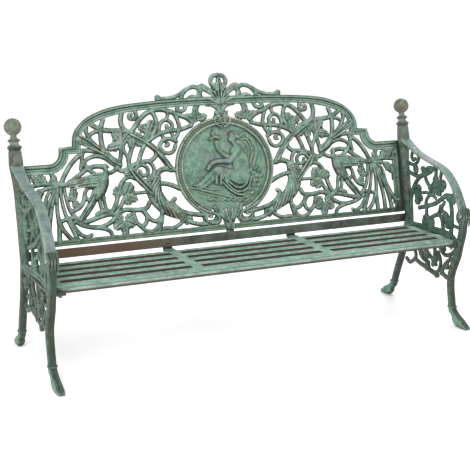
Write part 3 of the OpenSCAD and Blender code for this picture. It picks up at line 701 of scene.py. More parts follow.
PANEL_FRONT = (0.0, -0.98, 0.19)
LIT_DIRECTION = (-0.22, -0.83, 0.51)       # stem faces turned away from this direction get painted shade; faces towards it keep the paint's colour
PANEL_SHADE = rgb(18, 30, 22)
# painted shade: the sides of the panel's stems and rails, turned away from the lit direction above, are
# painted dark
PANEL_PAINT = patina("panel_paint", rgb(52, 82, 68), rgb(70, 102, 86), rgb(156, 184, 168), rust=0.6,
                     fresh=0.65, mauve=0.65, facing=LIT_DIRECTION, both_ways=True, side=PANEL_SHADE,
                     shade_share=0.96, front=0.97, fall=0.36, wear_and_highlight=(0.505, 0.56))
RAIL_PAINT = patina("rail_paint", rgb(66, 96, 80), rust=0.5, fresh=0.6, mauve=0.6, seed=1.3,
                    facing=LIT_DIRECTION, both_ways=True, side=PANEL_SHADE, shade_share=0.9, front=0.90,
                    wear_and_highlight=(0.515, 0.60))
BASE_PAINT = patina("base_paint", rgb(50, 76, 64), rgb(68, 100, 84), rgb(98, 130, 112),
                    rgb(120, 138, 116), rust=0.45, mauve=0.4, seed=1.6, wear_and_highlight=(0.515, 0.60))
# painted shade: skin of the ring, beads and relief turned away from the panel's front takes a darker
# colour
RING_PAINT = patina("ring_paint", rgb(76, 96, 82), rgb(108, 130, 112), rgb(148, 164, 142), rust=0.4,
                    hollow_shade=0.45, seed=1.9, facing=PANEL_FRONT, both_ways=True, side=rgb(60, 78, 64),
                    shade_share=0.8)
BEAD_PAINT = patina("bead_paint", rgb(104, 124, 108), rgb(136, 154, 134), rgb(170, 182, 162),
                    rust=0.2, hollow_shade=0.3, seed=2.4, facing=PANEL_FRONT, side=rgb(70, 90, 76),
                    shade_share=0.8)
RELIEF_PAINT = patina("relief_paint", rgb(64, 92, 78), rgb(92, 128, 110), rgb(132, 160, 140),
                      rgb(158, 172, 146), rust=0.5, fresh=0.7, mauve=0.6, hollow_shade=0.6, seed=2.1,
                      facing=PANEL_FRONT, side=rgb(52, 74, 62), shade_share=0.7, wear_and_highlight=(0.505, 0.56),
                      hollow=(0.496, 0.44))
# painted shade: the lace's edges, turned away from the frame's flat faces, take a dark colour, and the
# legs under the seat are painted darker
END_PAINT = patina("end_paint", rgb(32, 56, 46), rgb(56, 90, 74), rgb(108, 146, 126), rust=0.4,
                   seed=3.7, facing=(1.0, 0.0, 0.0), both_ways=True, side=rgb(36, 46, 36),
                   shade_share=0.85, front=0.97, fall=0.42, below=0.355)
POST_PAINT = patina("post_paint", rgb(42, 56, 46), rgb(80, 94, 80), rgb(118, 136, 120), rust=0.45,
                    mauve=0.35, seed=9.3)
ARM_PAINT = patina("arm_paint", rgb(62, 84, 76), rgb(90, 112, 108), rgb(128, 150, 144), rust=0.4,
                   mauve=0.8, seed=4.4)
# painted shade: the sides and slot walls of the seat and its nose, turned away from the top, take a dark
# brown
SEAT_PAINT = patina("seat_paint", rgb(80, 116, 100), rgb(110, 146, 128), rgb(164, 192, 176),
                    rgb(196, 208, 194), rust=0.25, mauve=0.45, fresh=0.7, seed=5.2,
                    facing=(0.0, 0.0, 1.0), side=rgb(54, 36, 28), shade_share=1.0)
NOSE_PAINT = patina("nose_paint", rgb(94, 122, 112), rgb(124, 150, 140), rgb(160, 180, 172),
                    rgb(200, 208, 198), rust=0.3, mauve=0.5, fresh=0.7, seed=5.9,
                    facing=(0.0, -0.35, 0.94), side=rgb(66, 48, 38), shade_share=0.95)
FINIAL_PAINT = patina("finial_paint", rgb(46, 58, 48), rgb(82, 92, 76), rgb(124, 134, 114), rust=0.6,
                      fresh=0.75, seed=6.6)
BAR_PAINT = patina("bar_paint", rgb(52, 40, 32), rgb(84, 62, 48), rgb(96, 92, 76), rust=0.6,
                   fresh=0.3, seed=7.5)
# the rear bar's darker greens are partly painted shade; its bare brown left end is real
REAR_RAIL_PAINT = patina("rear_rail_paint", rgb(40, 50, 44), rgb(72, 88, 78), rgb(104, 122, 110),
                         rust=0.4, seed=10.4, bare_end=True)
IRON = patina("fastener_iron", SOOT_AND_SHADE, BROWN, rgb(84, 96, 80), rust=0.7, mauve=0.0, seed=8.9)

# ---------- back panel ----------

SWELL = 7.2                    # the round stems are this much wider than the flat drawing
LEAF_SWELL = 1.2
HORN = smooth([(308, 672), (318, 630), (312, 590), (286, 550), (246, 517), (200, 490)], 10.0)
HORN_HALF = 19
SCROLL = [(134, 528), (104, 509), (74, 500), (54, 488), (47, 469), (62, 456), (88, 459), (104, 474),
          (97, 491), (82, 492), (78, 481)]
CHEEK = [(36, 508), (38, 484), (42, 462), (62, 446), (94, 450), (120, 466)]
BIRD_BREAST = [(516, 722), (512, 706), (514, 684), (524, 652), (540, 622), (560, 600)]
# Rows of a tube's points, two widths, centre, bow, flat and blend
FEATHERS = drawing("""
530,684 610,677 690,664  17 7 2 3 6 0.8
534,672 613,667.5 692,657  17 7 2 3 6 0.8
540,661 608,658.5 676,650  17 7 2 3 6 0.8
548,648 597,648.5 646,643  16 7 2 3 6 0.8
528,694 574,690 620,680  14 7 2 3 6 0.8
""")


def stems_and_leaves(panel):
    """The drawn scrollwork, its stems waving a little in depth."""
    for k, (points, w0, w1) in enumerate(VINES):
        panel.tube(points, w0 + SWELL, w1 + SWELL, centre=-4.5, bow=1.8 * math.sin(2.4 * k), flat=8.6)
    for points, w0, w1 in BLADES:
        panel.tube(points, w0, w1, centre=4.5, bow=2, flat=6, blend=0.9)
    for points, w0, w1 in CREST:
        panel.tube(points, w0 + SWELL, w1 + SWELL)
        if min(x for x, v in points) < 20:
            panel.tube([(-x, v) for x, v in points], w0 + SWELL, w1 + SWELL)
    for k, ((base, tip), half) in enumerate(LEAVES):
        panel.leaf(base, tip, half * LEAF_SWELL, centre=-4.5 + 1.2 * math.sin(1.9 * k))


def horn(panel):
    """Overlapping leaves that sheathe the acanthus horn."""
    for k in range(-6, len(HORN) - 4, 3):
        strand = []
        for step, share in ((0, -1.0), (3, -0.55), (6, 0.1), (9, 0.8)):
            at = min(max(k + step, 1), len(HORN) - 2)
            ahead = HORN[at + 1] - HORN[at - 1]
            across = np.array([-ahead[1], ahead[0]]) / np.linalg.norm(ahead)
            strand.append(HORN[at] + HORN_HALF * share * across)
        panel.tube(strand, 15, 10, centre=1.5, bow=5, flat=7, blend=0.9)


def crest_leaves(panel):
    """The middle stem and the leaves and fronds that spread from it."""
    panel.tube([(0, 876), (0, 930), (0, 1000)], 30, 18)
    panel.leaf((0, 998), (0, 1056), 13, centre=0)
    for side, _ in SIDES:
        panel.leaf((6 * side, 994), (34 * side, 1030), 11, centre=1)
        for x, v, width in ((9, 1000, 10), (24, 992, 10), (38, 980, 11), (48, 964, 11)):
            middle = (0.62 * x * side, 940 + 0.62 * (v - 940))
            panel.tube([(2 * side, 940), middle, (x * side, v)], 6, width, 3, 2, 6, 0.8)


def ring_foot(panel):
    """Scrolls that end the ring, the scalloped shell between them and a small lily below."""
    for side, _ in SIDES:
        turn = np.array([side, 1])
        panel.tube(SCROLL * turn, 16, 9, centre=3, flat=8, blend=1.2)
        panel.ball((86 * side, 482, 4), (6, 6, 7))
        panel.tube(CHEEK * turn, 10, 9, centre=0, flat=7, blend=1.2)
    for x in range(-42, 43, 14):
        rib = [(0.4 * x, 464), (0.85 * x, 484), (x, 505 - 0.005 * x * x)]
        panel.tube(rib, 10, 17, centre=3, bow=2, flat=7, blend=0.8)
    panel.tube([(0, 404), (0, 470)], 30, 60, centre=-5)
    for x, v in ((0, 468), (18, 455), (-18, 455)):
        panel.leaf((0.2 * x, 424), (x, v), 9, centre=2)


def ribbon(panel):
    """The ribbon that clasps the ring's top."""
    for side, _ in SIDES:
        turn = np.array([side, 1])
        panel.tube([(8, 848), (24, 854), (34, 870), (28, 888), (14, 890)] * turn, 10, 8, 8, 0, 6, 1.2)
        panel.tube([(2, 856), (12, 870), (10, 890), (20, 908)] * turn, 9, 7, 7, 0, 6, 1.2)
        panel.leaf((4 * side, 884), (30 * side, 914), 9, centre=2)


def bird(panel):
    """Breast and neck, head and beak, long feathers."""
    panel.tube(BIRD_BREAST, 19, 26, centre=-2, flat=10)
    panel.ball((528, 660, -1), (25, 34, 14), blend=8)
    panel.ball((542, 628, -2), (22, 30, 12), blend=9)
    panel.ball((512, 722, -2), (11, 9, 8))
    panel.tube([(508, 722), (498, 716), (493, 709)], 9, 3, centre=-2)
    for feather in FEATHERS:
        panel.tube(*feather)


scrollwork = Block((-3.3, 368, -16), (846, 1078, 17), CELL)
for add_part in (stems_and_leaves, horn, crest_leaves, ring_foot, ribbon, bird):
    add_part(scrollwork)
casting("scrollwork", scrollwork, on_panel, (-10, 190, 380, 580, 900), PANEL_PAINT,
        ("back_panel", "back_panel"))

# rails: each is a moulding between its outer and its inner edge
ARCH_OUT = [(0, 970), (100, 970), (200, 969), (300, 965), (400, 958), (450, 952), (495, 943),
            (535, 930), (570, 914), (600, 892), (622, 867), (634, 840), (638, 805)]
ARCH_IN = [(0, 940), (100, 939), (200, 938), (300, 935), (400, 927), (440, 921), (480, 913),
           (520, 902), (552, 889), (578, 874), (596, 853), (604, 826), (605, 777)]
SHOULDER = (737, 787)
SHOULDER_OUT, SHOULDER_IN = 45, 82
BAND_TOP, BAND_FOOT, BAND_INNER = 742, 425.0, 812
TOP_PROFILE = [(0, -10), (-0.01, -2), (0.01, 2.0), (0.08, 4.8), (0.18, 6.2), (0.28, 5.6), (0.36, 3.4),
               (0.40, 0.6), (0.44, 0.2), (0.48, 1.8), (0.54, 3.0), (0.60, 2.6), (0.64, 1.0),
               (0.68, 0.8), (0.72, 2.6), (0.82, 3.8), (0.92, 3.2), (1.0, 1.0), (1.01, -3), (1.0, -10)]
BAND_PROFILE = [(0, -10), (0, 1), (0.08, 2.8), (0.20, 3.0), (0.27, 1.2), (0.78, 1.0), (0.84, 2.4),
                (0.94, 2.2), (1, 0.5), (1, -10)]
BOTTOM_PROFILE = [(0, -10), (0, 1), (0.1, 3.2), (0.26, 4.0), (0.4, 3.0), (0.48, 0.6), (0.55, 0.6),
                  (0.62, 2.4), (0.8, 3.0), (0.95, 2.2), (1, 0), (1, -10)]
RING_PROFILE = [(0, -10), (-0.01, 0), (0.03, 4.5), (0.12, 7.5), (0.22, 7.0), (0.30, 3.6), (0.36, 2.2),
                (0.62, 2.0), (0.70, 4.2), (0.78, 8.2), (0.88, 9.4), (0.97, 8.0), (1.03, 4.0),
                (1.05, -4), (1.0, -10)]
RING_OPEN = 24                 # degrees to each side of the bottom where the ring ends in its scrolls
RING_RX, RING_RZ, RING_W = 220, 210, 30
BEAD = np.array([(0.01, -1), (0.67, -0.7), (1, 0), (0.86, 0.55), (0.5, 0.88), (0.01, 1)])

rail_out = np.vstack([smooth(ARCH_OUT, count=10), [[692, 805], [692, 796]],
                      arc(SHOULDER, SHOULDER_OUT, 180, 270, 13), [[787, BAND_TOP], [PANEL_X, BAND_TOP]]])
rail_in = np.vstack([smooth(ARCH_IN, count=10), [[655.6, 777], [655.6, 776]],
                     arc(SHOULDER, SHOULDER_IN, 188, 270, 13), [[787, 705], [PANEL_X, 705]]])
band_out = np.array([[PANEL_X, BAND_FOOT], [PANEL_X, BAND_TOP]])
band_in = np.array([[BAND_INNER, BAND_FOOT], [BAND_INNER, BAND_TOP]])


def ring_line(inset, count):
    """Points on the ring, inset from its edge, from one scroll at its foot round to the other."""
    a = np.radians(np.linspace(-90 + RING_OPEN, 270 - RING_OPEN, count))
    return np.stack([(RING_RX - inset) * np.cos(a), RING_V + (RING_RZ - inset) * np.sin(a)], 1)


def bead_row(name, places, height, size, material):
    """A row of small turned beads along a line on the panel."""
    bead, bead_faces = lathe(BEAD * size, 10)
    points = np.vstack([bead + [x, v, height] for x, v in places])
    faces = np.vstack([bead_faces + k * len(bead) for k in range(len(places))])
    piece(name, on_panel(points), faces, material, "back_panel")


def edge_places(spacing):
    """Places of the beads along the outer edge of the arched rail and its shoulders."""
    edge = np.vstack([smooth(ARCH_OUT, count=10), [[660, 805]],
                      arc(SHOULDER, SHOULDER_OUT, 180, 270, 13), [[PANEL_X, BAND_TOP]]])
    length = np.concatenate([[0], np.cumsum(np.linalg.norm(np.diff(edge, axis=0), axis=1))])
    at = np.arange(150, length[-1], spacing)
    edge = np.stack([np.interp(at, length, edge[:, k]) for k in range(2)], 1)
    return np.vstack([edge, edge * [-1, 1]]) - [0, 1.5]


for side, name in SIDES:
    turn = np.array([side, 1])
    points, faces = moulding(rail_out * turn, rail_in * turn, TOP_PROFILE)
    piece(f"top_rail_{name}", on_panel(points), faces, RAIL_PAINT, "back_panel", side < 0)
    points, faces = moulding(band_out * turn, band_in * turn, BAND_PROFILE)
    piece(f"end_band_{name}", on_panel(points), faces, BASE_PAINT, "back_panel", side > 0)
points, faces = moulding(np.array([[-PANEL_X, 448.0], [PANEL_X, 448]]),
                         np.array([[-PANEL_X, 425.0], [PANEL_X, 425]]), BOTTOM_PROFILE)
piece("bottom_rail", on_panel(points), faces, BASE_PAINT, "back_panel")
points, faces = moulding(ring_line(0, 180), ring_line(RING_W, 180), RING_PROFILE)
piece("medallion_ring", on_panel(points), faces, RING_PAINT, "back_panel", True)
bead_row("ring_beads", ring_line(14, 96), 4.0, 4.3, BEAD_PAINT)
bead_row("edge_beads", edge_places(8.0), 3.4, 3.4, RAIL_PAINT)

# ---------- medallion relief ----------

RELIEF_X, RELIEF_V, RELIEF_STEP = 193, 183, 1.6
PLAQUE_FACE, PLAQUE_BACK = -7.5, -9.5
ROCKS = [(138, 668, 10), (155, 658, 9), (146, 640, 11), (160, 634, 8), (130, 650, 9), (134, 616, 10),
         (148, 598, 11), (126, 600, 10), (136, 578, 10), (116, 566, 10), (104, 584, 9), (112, 620, 8)]
# Rows of a ridge's points, two radii, the height of its foot and its own height
CLOTH_AND_PLANT = drawing("""
72,800 96,816 120,806 141,776 148,738 137,698 116,660  7 8 0 5
80,792 104,792 121,770 128,734 116,694  4 4 1 5
112,802 128,788 134,768  9 6 2 5
96,780 110,752 112,722  3 3 0 4
-118,650 -104,672 -88,690  4 2 0 4
-130,652 -112,668 -100,686  4 2 0 4
""")
GROUND = drawing("""
-158,608 -121,599 -78,586 -29,573 10,560 61,550 100,556  5 5 0 4.5
-140,620 -105,606 -70,596 -30,592  5 4 0 4
-120,588 -80,574 -40,562  3 3 0 4
""")
FIGURE = drawing("""
# trunk and legs
60,752 76,722 84,686 78,646  23 31 1 9
44,744 50,712 58,676  17 21 1 9
78,634 40,642 0,658 -34,672  31 19 2 10
-40,672 -80,646 -112,624 -132,614  16 9 3 8
-30,664 -60,638 -90,616 -118,606  14 8 1 7
-132,614 -144,618  6 5 3 6
-120,606 -136,602  6 4 2 6
# neck, head and hair
44,782 56,764  9 12 3 8
44,806 38,792  17 12 4 9
28,796 32,788  6 6 4 8
56,810 64,802  9 7 5 7
30,816 44,822 58,816  4 4 8 6
# arms
26,718 4,730 -14,745  11 9 2 7
-14,745 -28,762 -34,786  9 6 3 7
62,750 42,728 18,705  15 11 8 7
18,705 -15,708 -47,706 -70,694 -80,680  11 6 7 7
# the small bird on the raised hand
-56,802 -38,808 -18,804  5 8 3 8
-38,808 -46,822 -42,832  7 4 3 6
-20,806 -8,812  5 2 3 6
-56,802 -66,798  4 2 3 6
# folds of the dress, over the knee and slung below the thigh
-38,676 -56,656 -66,630  4 5.5 6 5
-32,670 -44,646 -46,620  4 5.5 6 5
-24,672 -24,644 -26,614  4 5.5 6 5
-14,668 -4,640 4,612  4 5.5 6 5
-28,680 -6,644 22,610 54,594 86,606 102,640  4.5 5 5 6
-26,656 2,614 32,584 64,577 98,594 112,634  4.5 5 5 6
-18,620 10,590 40,570 70,562  4.5 5 5 6
0,650 32,622 64,612 90,630  4.5 5 5 6
""")


class Relief:
    """Heights over the plaque, from which rounded ridges are raised."""

    def __init__(self):
        xs = np.arange(-RELIEF_X, RELIEF_X + RELIEF_STEP, RELIEF_STEP)
        vs = np.arange(RING_V - RELIEF_V, RING_V + RELIEF_V + RELIEF_STEP, RELIEF_STEP)
        self.x, self.v = np.meshgrid(xs, vs, indexing="ij")
        self.height = np.zeros_like(self.x)

    def ridge(self, points, r0, r1, base, depth, blend=1.0):
        """Raises a limb, fold or stalk; its foot is a slope outside its radius."""
        line = smooth(points, 4.0)
        radius = np.linspace(r0, r1, len(line))
        near = np.full_like(self.x, 9.0)
        for a, b, ra, rb in zip(line, line[1:], radius, radius[1:]):
            x, v, way = self.x - a[0], self.v - a[1], b - a
            t = np.clip((x * way[0] + v * way[1]) / np.dot(way, way), 0, 1)
            near = np.minimum(near, np.hypot(x - t * way[0], v - t * way[1]) / (ra + t * (rb - ra)))
        foot = base * np.clip((1.3 - near) / 0.35, 0, 1)
        height = np.where(near < 1.3, foot + depth * np.sqrt(np.clip(1 - near**2, 0, 1)), -5.0)
        h = np.clip(0.5 + 0.5 * (height - self.height) / blend, 0, 1)
        self.height = self.height * (1 - h) + height * h + blend * h * (1 - h)


def plaque_relief():
    """The figure on its rocks, above ground lines and a strip of foliage."""
    relief = Relief()
    for row in CLOTH_AND_PLANT:
        relief.ridge(*row)
    for x, v, r in ROCKS:
        relief.ridge([(x - 3, v), (x + 4, v + 3)], r, r * 0.8, 0, 6)
    for row in GROUND:
        relief.ridge(*row)
    for k in range(14):
        x = -82 + 13 * k
        relief.ridge([(x, 547 - 0.10 * x), (x + 9, 540 - 0.10 * x + 15 * (k % 2))], 5.5, 3, 0.5, 4.4)
    for row in FIGURE:
        relief.ridge(*row)
    x, v = relief.x, relief.v
    rough = 1.1 * np.clip((690 - v) / 90, 0.35, 1)
    waves = rough * np.sin(x / 9 + 2 * np.sin(v / 17)) * np.sin(v / 7 + 1.6 * np.sin(x / 13))
    spread = np.hypot(x / 190, (v - RING_V) / 180)
    dish = 3.0 * np.clip(spread - 0.80, 0, 1) / 0.2
    height = 1.3 * (relief.height + waves) + dish
    upper = np.stack([x, v, height + PLAQUE_FACE], -1).reshape(-1, 3)
    lower = np.stack([x, v, np.full_like(x, PLAQUE_BACK)], -1).reshape(-1, 3)
    quads = grid_faces(*x.shape)[:, ::-1]
    inside = (spread.reshape(-1)[quads] < 1.005).all(1)
    return plate(upper, lower, quads[inside])


points, faces = plaque_relief()
piece("medallion_relief", on_panel(points), faces, RELIEF_PAINT, "medallion_plaque")

# ---------- end frames ----------

KNEE = (250, 466)
LEG_FLAT = 16                  # half thickness of the legs across the bench
# The outlines of posts, finials and the joint between them, as radius and height
POST_OUTLINE = [(0.01, -424), (19, -424), (18, -300), (18.5, -160), (22, -110), (27, -72), (27.5, -56),
                (25, -20), (24, -10), (21, -3), (0.01, -3)]
FINIAL_NECK = [(0.01, -3), (22, -3), (26, 0), (28, 3), (27.5, 7), (23, 11), (18, 15), (16.5, 20),
               (18, 25), (23, 28), (24, 31), (22, 34), (16, 37), (12.5, 42), (12, 48)]
JOINT_OUTLINE = [(0.01, -3.5), (24.6, -3.5), (25.2, -2), (25.2, -0.5), (24.4, 0.5), (0.01, 0.5)]
BALL_R, BALL_Z = 33, 82
# Section of the arm: shares of its half thickness and half width
ARM_SECTION = [(-1, -0.6), (-1, 0.2), (-0.93, 0.75), (-0.75, 0.95), (0, 1.15), (0.75, 0.95),
               (0.93, 0.75), (1, 0.2), (1, -0.6), (0.85, -1), (-0.85, -1)]


def side_scrolls(lace):
    """Stems and leaves under the arm and in the apron, and the ledges under the seat."""
    for k, (points, w0, w1) in enumerate(ARM_VINES + APRON_VINES):
        lace.tube(points, w0 + SWELL, w1 + SWELL, centre=0, bow=2.5 * math.sin(2.1 * k), flat=7.2)
    for k, ((base, tip), half) in enumerate(ARM_LEAVES + APRON_LEAVES):
        lace.leaf(base, tip, half * LEAF_SWELL, centre=3 * math.sin(1.7 * k), back=None)
    lace.tube(LEDGE, 15, 15, centre=0, flat=18)
    lace.tube([(d, z - 14) for d, z in LEDGE], 22, 22, centre=0, flat=11)
    lace.tube([(-158, 344), (236, 344)], 16, 16, centre=0, flat=13)


def legs(lace):
    """Bars that swell to the knee and narrow to the fetlock; a rosette and fluting at the knee."""
    lace.tube(FRONT_LEG[:5], 42, 36, centre=0, flat=LEG_FLAT)
    lace.tube(FRONT_LEG[3:], 37, 32, centre=0, flat=LEG_FLAT)
    lace.tube(REAR_LEG, 40, 31, centre=0, flat=LEG_FLAT)
    lace.ball((*KNEE, 0), (30, 36, 23), blend=4)
    for a in np.radians(range(-75, 106, 36)):
        knob = (KNEE[0] + 21 * math.cos(a), KNEE[1] - 4 + 22 * math.sin(a), 0)
        lace.ball(knob, (9, 9, 21.5), blend=1)
    for n in (-12, -4, 4, 12):
        lace.tube([(264, 502), (284, 474), (274, 432)], 11, 6, centre=1.4 * n, flat=5.5, blend=0.9)


def hooves(lace):
    """Cloven hooves, the rear ones turned back and a little shorter."""
    hoof = (([(218, 60), (244, 38), (282, 20)], 26, 32), ([(274, 20), (300, 14), (321, 7)], 32, 12),
            ([(240, 26), (262, 13), (290, 10)], 26, 24))
    for stretch, ankle in ((1, 212), (-0.84, -231)):
        lace.ball((ankle, 74, 0), (23, 8, 19.5), blend=1.5)
        for n in (-7, 7):
            for line, w0, w1 in hoof:
                reach = [(ankle + (d - 212) * stretch, z) for d, z in line]
                lace.tube(reach, w0, w1, centre=n, flat=9, blend=2)


def arm_band():
    """The flat arm, thicker and wider towards its ends."""
    line = smooth(ARM, 6.0)
    along = np.gradient(line, axis=0)
    out = np.stack([-along[:, 1], along[:, 0]], 1) / np.linalg.norm(along, axis=1)[:, None]
    share = np.linspace(0, 1, len(line))
    thick = np.interp(share, [0, 0.7, 1], [5.5, 6.5, 8.0])
    half = np.interp(share, [0, 0.06, 0.2, 0.92, 1], [24, 24, 20, 20, 25])
    rings = [[np.append(c + o * t * b, h * a) for a, b in ARM_SECTION]
             for c, o, t, h in zip(line, out, thick, half)]
    return np.array(rings).reshape(-1, 3), bar_faces(len(line), len(ARM_SECTION))


lace = Block((-336, -6, -24.2), (336, 760, 24.2), CELL)
for add_part in (side_scrolls, legs, hooves):
    add_part(lace)
lace.value = np.maximum(lace.value, -lace.w[None, :, None]).astype(np.float32)     # flat on the ground
casting("end_lace", lace, on_end, (-340, -60, 120, 340), END_PAINT,
        ("end_frame_right", "end_frame_left"), flip=True)

arm_points, arm_faces = arm_band()
finial_ball = [(BALL_R * math.sin(a), BALL_Z - BALL_R * math.cos(a))
               for a in map(math.radians, range(22, 180, 8))]
finial_outline = FINIAL_NECK + finial_ball + [(0.01, BALL_Z + BALL_R)]
for side, name in SIDES:
    frame_node, finial_node = f"end_frame_{name}", f"finial_{name}"
    piece(f"arm_{name}", on_side(on_end, side)(arm_points), arm_faces, ARM_PAINT, frame_node, side > 0)
    for label, outline, paint, node in (("post", POST_OUTLINE, POST_PAINT, frame_node),
                                        ("finial", finial_outline, FINIAL_PAINT, finial_node),
                                        ("joint_line", JOINT_OUTLINE, BAR_PAINT, finial_node)):
        points, faces = lathe(outline)
        piece(f"{label}_{name}", on_side(on_post, side)(points), faces, paint, node, side < 0)

# ---------- seat ----------

SEAT_X, SEAT_FRONT, SEAT_BACK, SEAT_T = 846.0, -256.0, 105.0, 12.0
SEAT_CORNER = 44.0
SLOT_W, SLOT_PITCH, STRAP_X, STRAP_W = 34.0, 72.0, 280.0, 44.0
END_MARGIN = 36                # solid metal between the seat's end and its first slot
ROUND = 2.5                    # rounding of every upper edge
NOSE_R, NOSE_H = 11, 16
CLUSTER = (0, 0.4, 0.9, 1.6, ROUND)
slot_rows = [(60 - SLOT_PITCH * k - SLOT_W / 2, 60 - SLOT_PITCH * k + SLOT_W / 2) for k in range(4)]
bays = [(-SEAT_X + END_MARGIN, -STRAP_X - STRAP_W / 2),
        (-STRAP_X + STRAP_W / 2, STRAP_X - STRAP_W / 2),
        (STRAP_X + STRAP_W / 2, SEAT_X - END_MARGIN)]
slots = [bay + row for bay in bays for row in slot_rows]


def bend(distance, radius):
    """How far a quarter round stands back at a distance from the edge that it starts at."""
    return radius - np.sqrt(np.clip(radius**2 - np.clip(radius - distance, 0, radius) ** 2, 0, None))


def lines(low, high, openings):
    """Grid lines from low to high, gathered at both sides of every opening."""
    marks = {low + c for c in CLUSTER} | {high - c for c in CLUSTER}
    for a, b in openings:
        marks |= {a - c for c in CLUSTER} | {b + c for c in CLUSTER}
    return np.array(sorted(marks))


def seat_slats():
    """The slotted plate behind the nose, with rounded upper edges and front corners."""
    xs = lines(-SEAT_X, SEAT_X, bays)
    ys = lines(SEAT_FRONT + 20, SEAT_BACK, slot_rows)
    x, y = np.meshgrid(xs, ys, indexing="ij")
    gap = np.minimum.reduce([x + SEAT_X, SEAT_X - x, SEAT_BACK - y] + [
        np.hypot(np.clip(np.maximum(a - x, x - b), 0, None), np.clip(np.maximum(c - y, y - d), 0, None))
        for a, b, c, d in slots])
    limit = SEAT_X - bend(y - SEAT_FRONT, SEAT_CORNER)
    x = np.clip(x, -limit, limit)
    upper = np.stack([x, y, SEAT_Z - bend(gap, ROUND)], -1).reshape(-1, 3)
    lower = np.stack([x, y, np.full_like(x, SEAT_Z - SEAT_T)], -1).reshape(-1, 3)
    quads = grid_faces(len(xs), len(ys))[:, ::-1]
    x, y, _ = upper[quads].mean(1).T
    solid = np.ones(len(quads), bool)
    for a, b, c, d in slots:
        solid &= ~((x > a) & (x < b) & (y > c) & (y < d))
    return plate(upper, lower, quads[solid])


def seat_nose():
    """The round nose along the seat's front and round its corners."""
    turns = [math.radians(a) for a in range(96, 181, 12)]
    section = [(SEAT_FRONT + 24, -0.8)]
    section += [(SEAT_FRONT + NOSE_R + NOSE_R * math.cos(a), NOSE_R * (math.sin(a) - 1)) for a in turns]
    section += [(SEAT_FRONT, -NOSE_H + 2), (SEAT_FRONT + 2, -NOSE_H), (SEAT_FRONT + 10, -NOSE_H),
                (SEAT_FRONT + 12, -NOSE_H + 2), (SEAT_FRONT + 24, -SEAT_T)]
    ends = SEAT_X - np.array([0, 0.8, 2.5, 6, 12, 20, 31, SEAT_CORNER])
    xs = np.concatenate([-ends, np.linspace(-800, 800, 57), ends[::-1]])
    points = [[x, y + bend(SEAT_X - abs(x), SEAT_CORNER), SEAT_Z + z] for x in xs for y, z in section]
    return points, bar_faces(len(xs), len(section))


piece("seat_slats", *seat_slats(), SEAT_PAINT, "seat_casting")
piece("seat_nose", *seat_nose(), NOSE_PAINT, "seat_casting", True)

# ---------- small blocks: the seat's tabs and lugs, the posts' ears and flanges, the rear rail ----------

PANEL_EARS_V = (480, 585, 690)
SEAT_LUGS_Y = (-232, -58, 82)


def cast_block(name, low, high, place, material, node, edge=2.0, count=1):
    """A block with rounded edges between two corners, in count lengths along x."""
    xs = np.linspace(low[0], high[0], count + 1)
    ring = [(low[1], low[2]), (high[1], low[2]), (high[1], high[2]), (low[1], high[2])]
    points = np.array([[x, a, b] for x in xs for a, b in ring])
    turned = np.linalg.det(place(np.eye(3)) - place(np.zeros((3, 3)))) < 0
    obj = piece(name, place(points), bar_faces(len(xs), 4), material, node, not turned)
    bevel = obj.modifiers.new("edges", "BEVEL")
    bevel.width = edge * MM
    bevel.segments = 3


for side, name in SIDES:
    flat, sloped, frame_node = on_side(as_is, side), on_side(on_panel, side), f"end_frame_{name}"
    cast_block(f"strap_tab_{name}", (258, 98, SEAT_Z - 8), (302, 148, SEAT_Z - 0.5), flat, SEAT_PAINT,
               "seat_casting")
    cast_block(f"strap_end_{name}", (260, 364, -12), (300, 413, -4.2), sloped, SEAT_PAINT,
               "seat_casting")
    cast_block(f"post_flange_{name}", (832, 425, -19), (864, 742, -12), sloped, END_PAINT, frame_node)
    cast_block(f"rail_ear_{name}", (810, 380, -12), (862, 416, -4.2), sloped, END_PAINT, frame_node)
    for k, v in enumerate(PANEL_EARS_V):
        cast_block(f"panel_ear_{name}_{k}", (810, v - 18, -19.6), (860, v + 18, -11.2), sloped,
                   END_PAINT, frame_node)
    for k, y in enumerate(SEAT_LUGS_Y):
        cast_block(f"seat_lug_{name}_{k}", (815, y - 18, SEAT_Z - 26), (864, y + 18, SEAT_Z - 12.2),
                   flat, END_PAINT, frame_node)
cast_block("rear_bar", (-838, 380, -4), (838, 416, 3), on_panel, REAR_RAIL_PAINT, "rear_rail", 1.6, 60)

# ---------- CAD pieces that show as they are ----------

for node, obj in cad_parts.items():
    if not obj.hide_render:
        obj.data.materials.clear()
        obj.data.materials.append(RAIL_PAINT if node in ("panel_bolts", "seat_screws") else IRON)

# ---------- floor, light, camera ----------

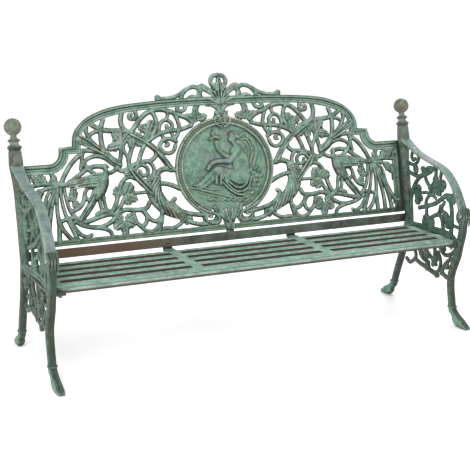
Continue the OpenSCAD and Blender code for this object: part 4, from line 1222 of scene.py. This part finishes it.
FLOOR = 40.0                   # half size in metres
FOCAL_PIXELS, IMAGE_WIDTH, SENSOR = 1059, 470, 36
CAMERA_PLACE = (-1.778, -3.723, 1.392)
CAMERA_DOWN, CAMERA_TURN = 13.2, 24.9  # degrees
SKY = 1.05

floor_paint = Nodes("floor_paint")
tone = floor_paint.mix(floor_paint.noise(3.0, 3.0), (0.97, 0.97, 0.97, 1.0), (0.99, 0.99, 0.99, 1.0))
floor_mesh = bpy.data.meshes.new("floor")
floor_corners = [(x * FLOOR, y * FLOOR, 0) for x, y in ((-1, -1), (1, -1), (1, 1), (-1, 1))]
floor_mesh.from_pydata(floor_corners, [], [(0, 1, 2, 3)])
floor_mesh.materials.append(floor_paint.finish(tone, 0.9))
floor = bpy.data.objects.new("floor", floor_mesh)
bpy.context.scene.collection.objects.link(floor)

world = bpy.data.worlds.new("studio")
bpy.context.scene.world = world
world.use_nodes = True
world.node_tree.nodes["Background"].inputs["Color"].default_value = (1, 1, 1, 1)
world.node_tree.nodes["Background"].inputs["Strength"].default_value = SKY


def lamp(name, place, target, size, power):
    """A round soft lamp aimed at a target."""
    data = bpy.data.lights.new(name, "AREA")
    data.shape = "DISK"
    data.size = size
    data.energy = power
    obj = bpy.data.objects.new(name, data)
    obj.location = place
    aim = np.array(target) - np.array(place)
    tilt = math.atan2(math.hypot(aim[0], aim[1]), -aim[2])
    obj.rotation_euler = (tilt, 0, math.atan2(-aim[0], aim[1]))
    bpy.context.scene.collection.objects.link(obj)


lamp("key", (-2.6, -3.4, 4.2), (0, 0, 0.5), 2.4, 170)
lamp("rim", (3.0, 2.4, 3.4), (0, 0, 0.6), 2.0, 60)

camera = bpy.data.cameras.new("camera")
camera.sensor_width = SENSOR
camera.lens = FOCAL_PIXELS / IMAGE_WIDTH * SENSOR
view = bpy.data.objects.new("camera", camera)
view.location = CAMERA_PLACE
view.rotation_euler = (math.radians(90 - CAMERA_DOWN), 0, math.radians(-CAMERA_TURN))
bpy.context.scene.collection.objects.link(view)
bpy.context.scene.camera = view
bpy.context.scene.view_settings.view_transform = "Standard"
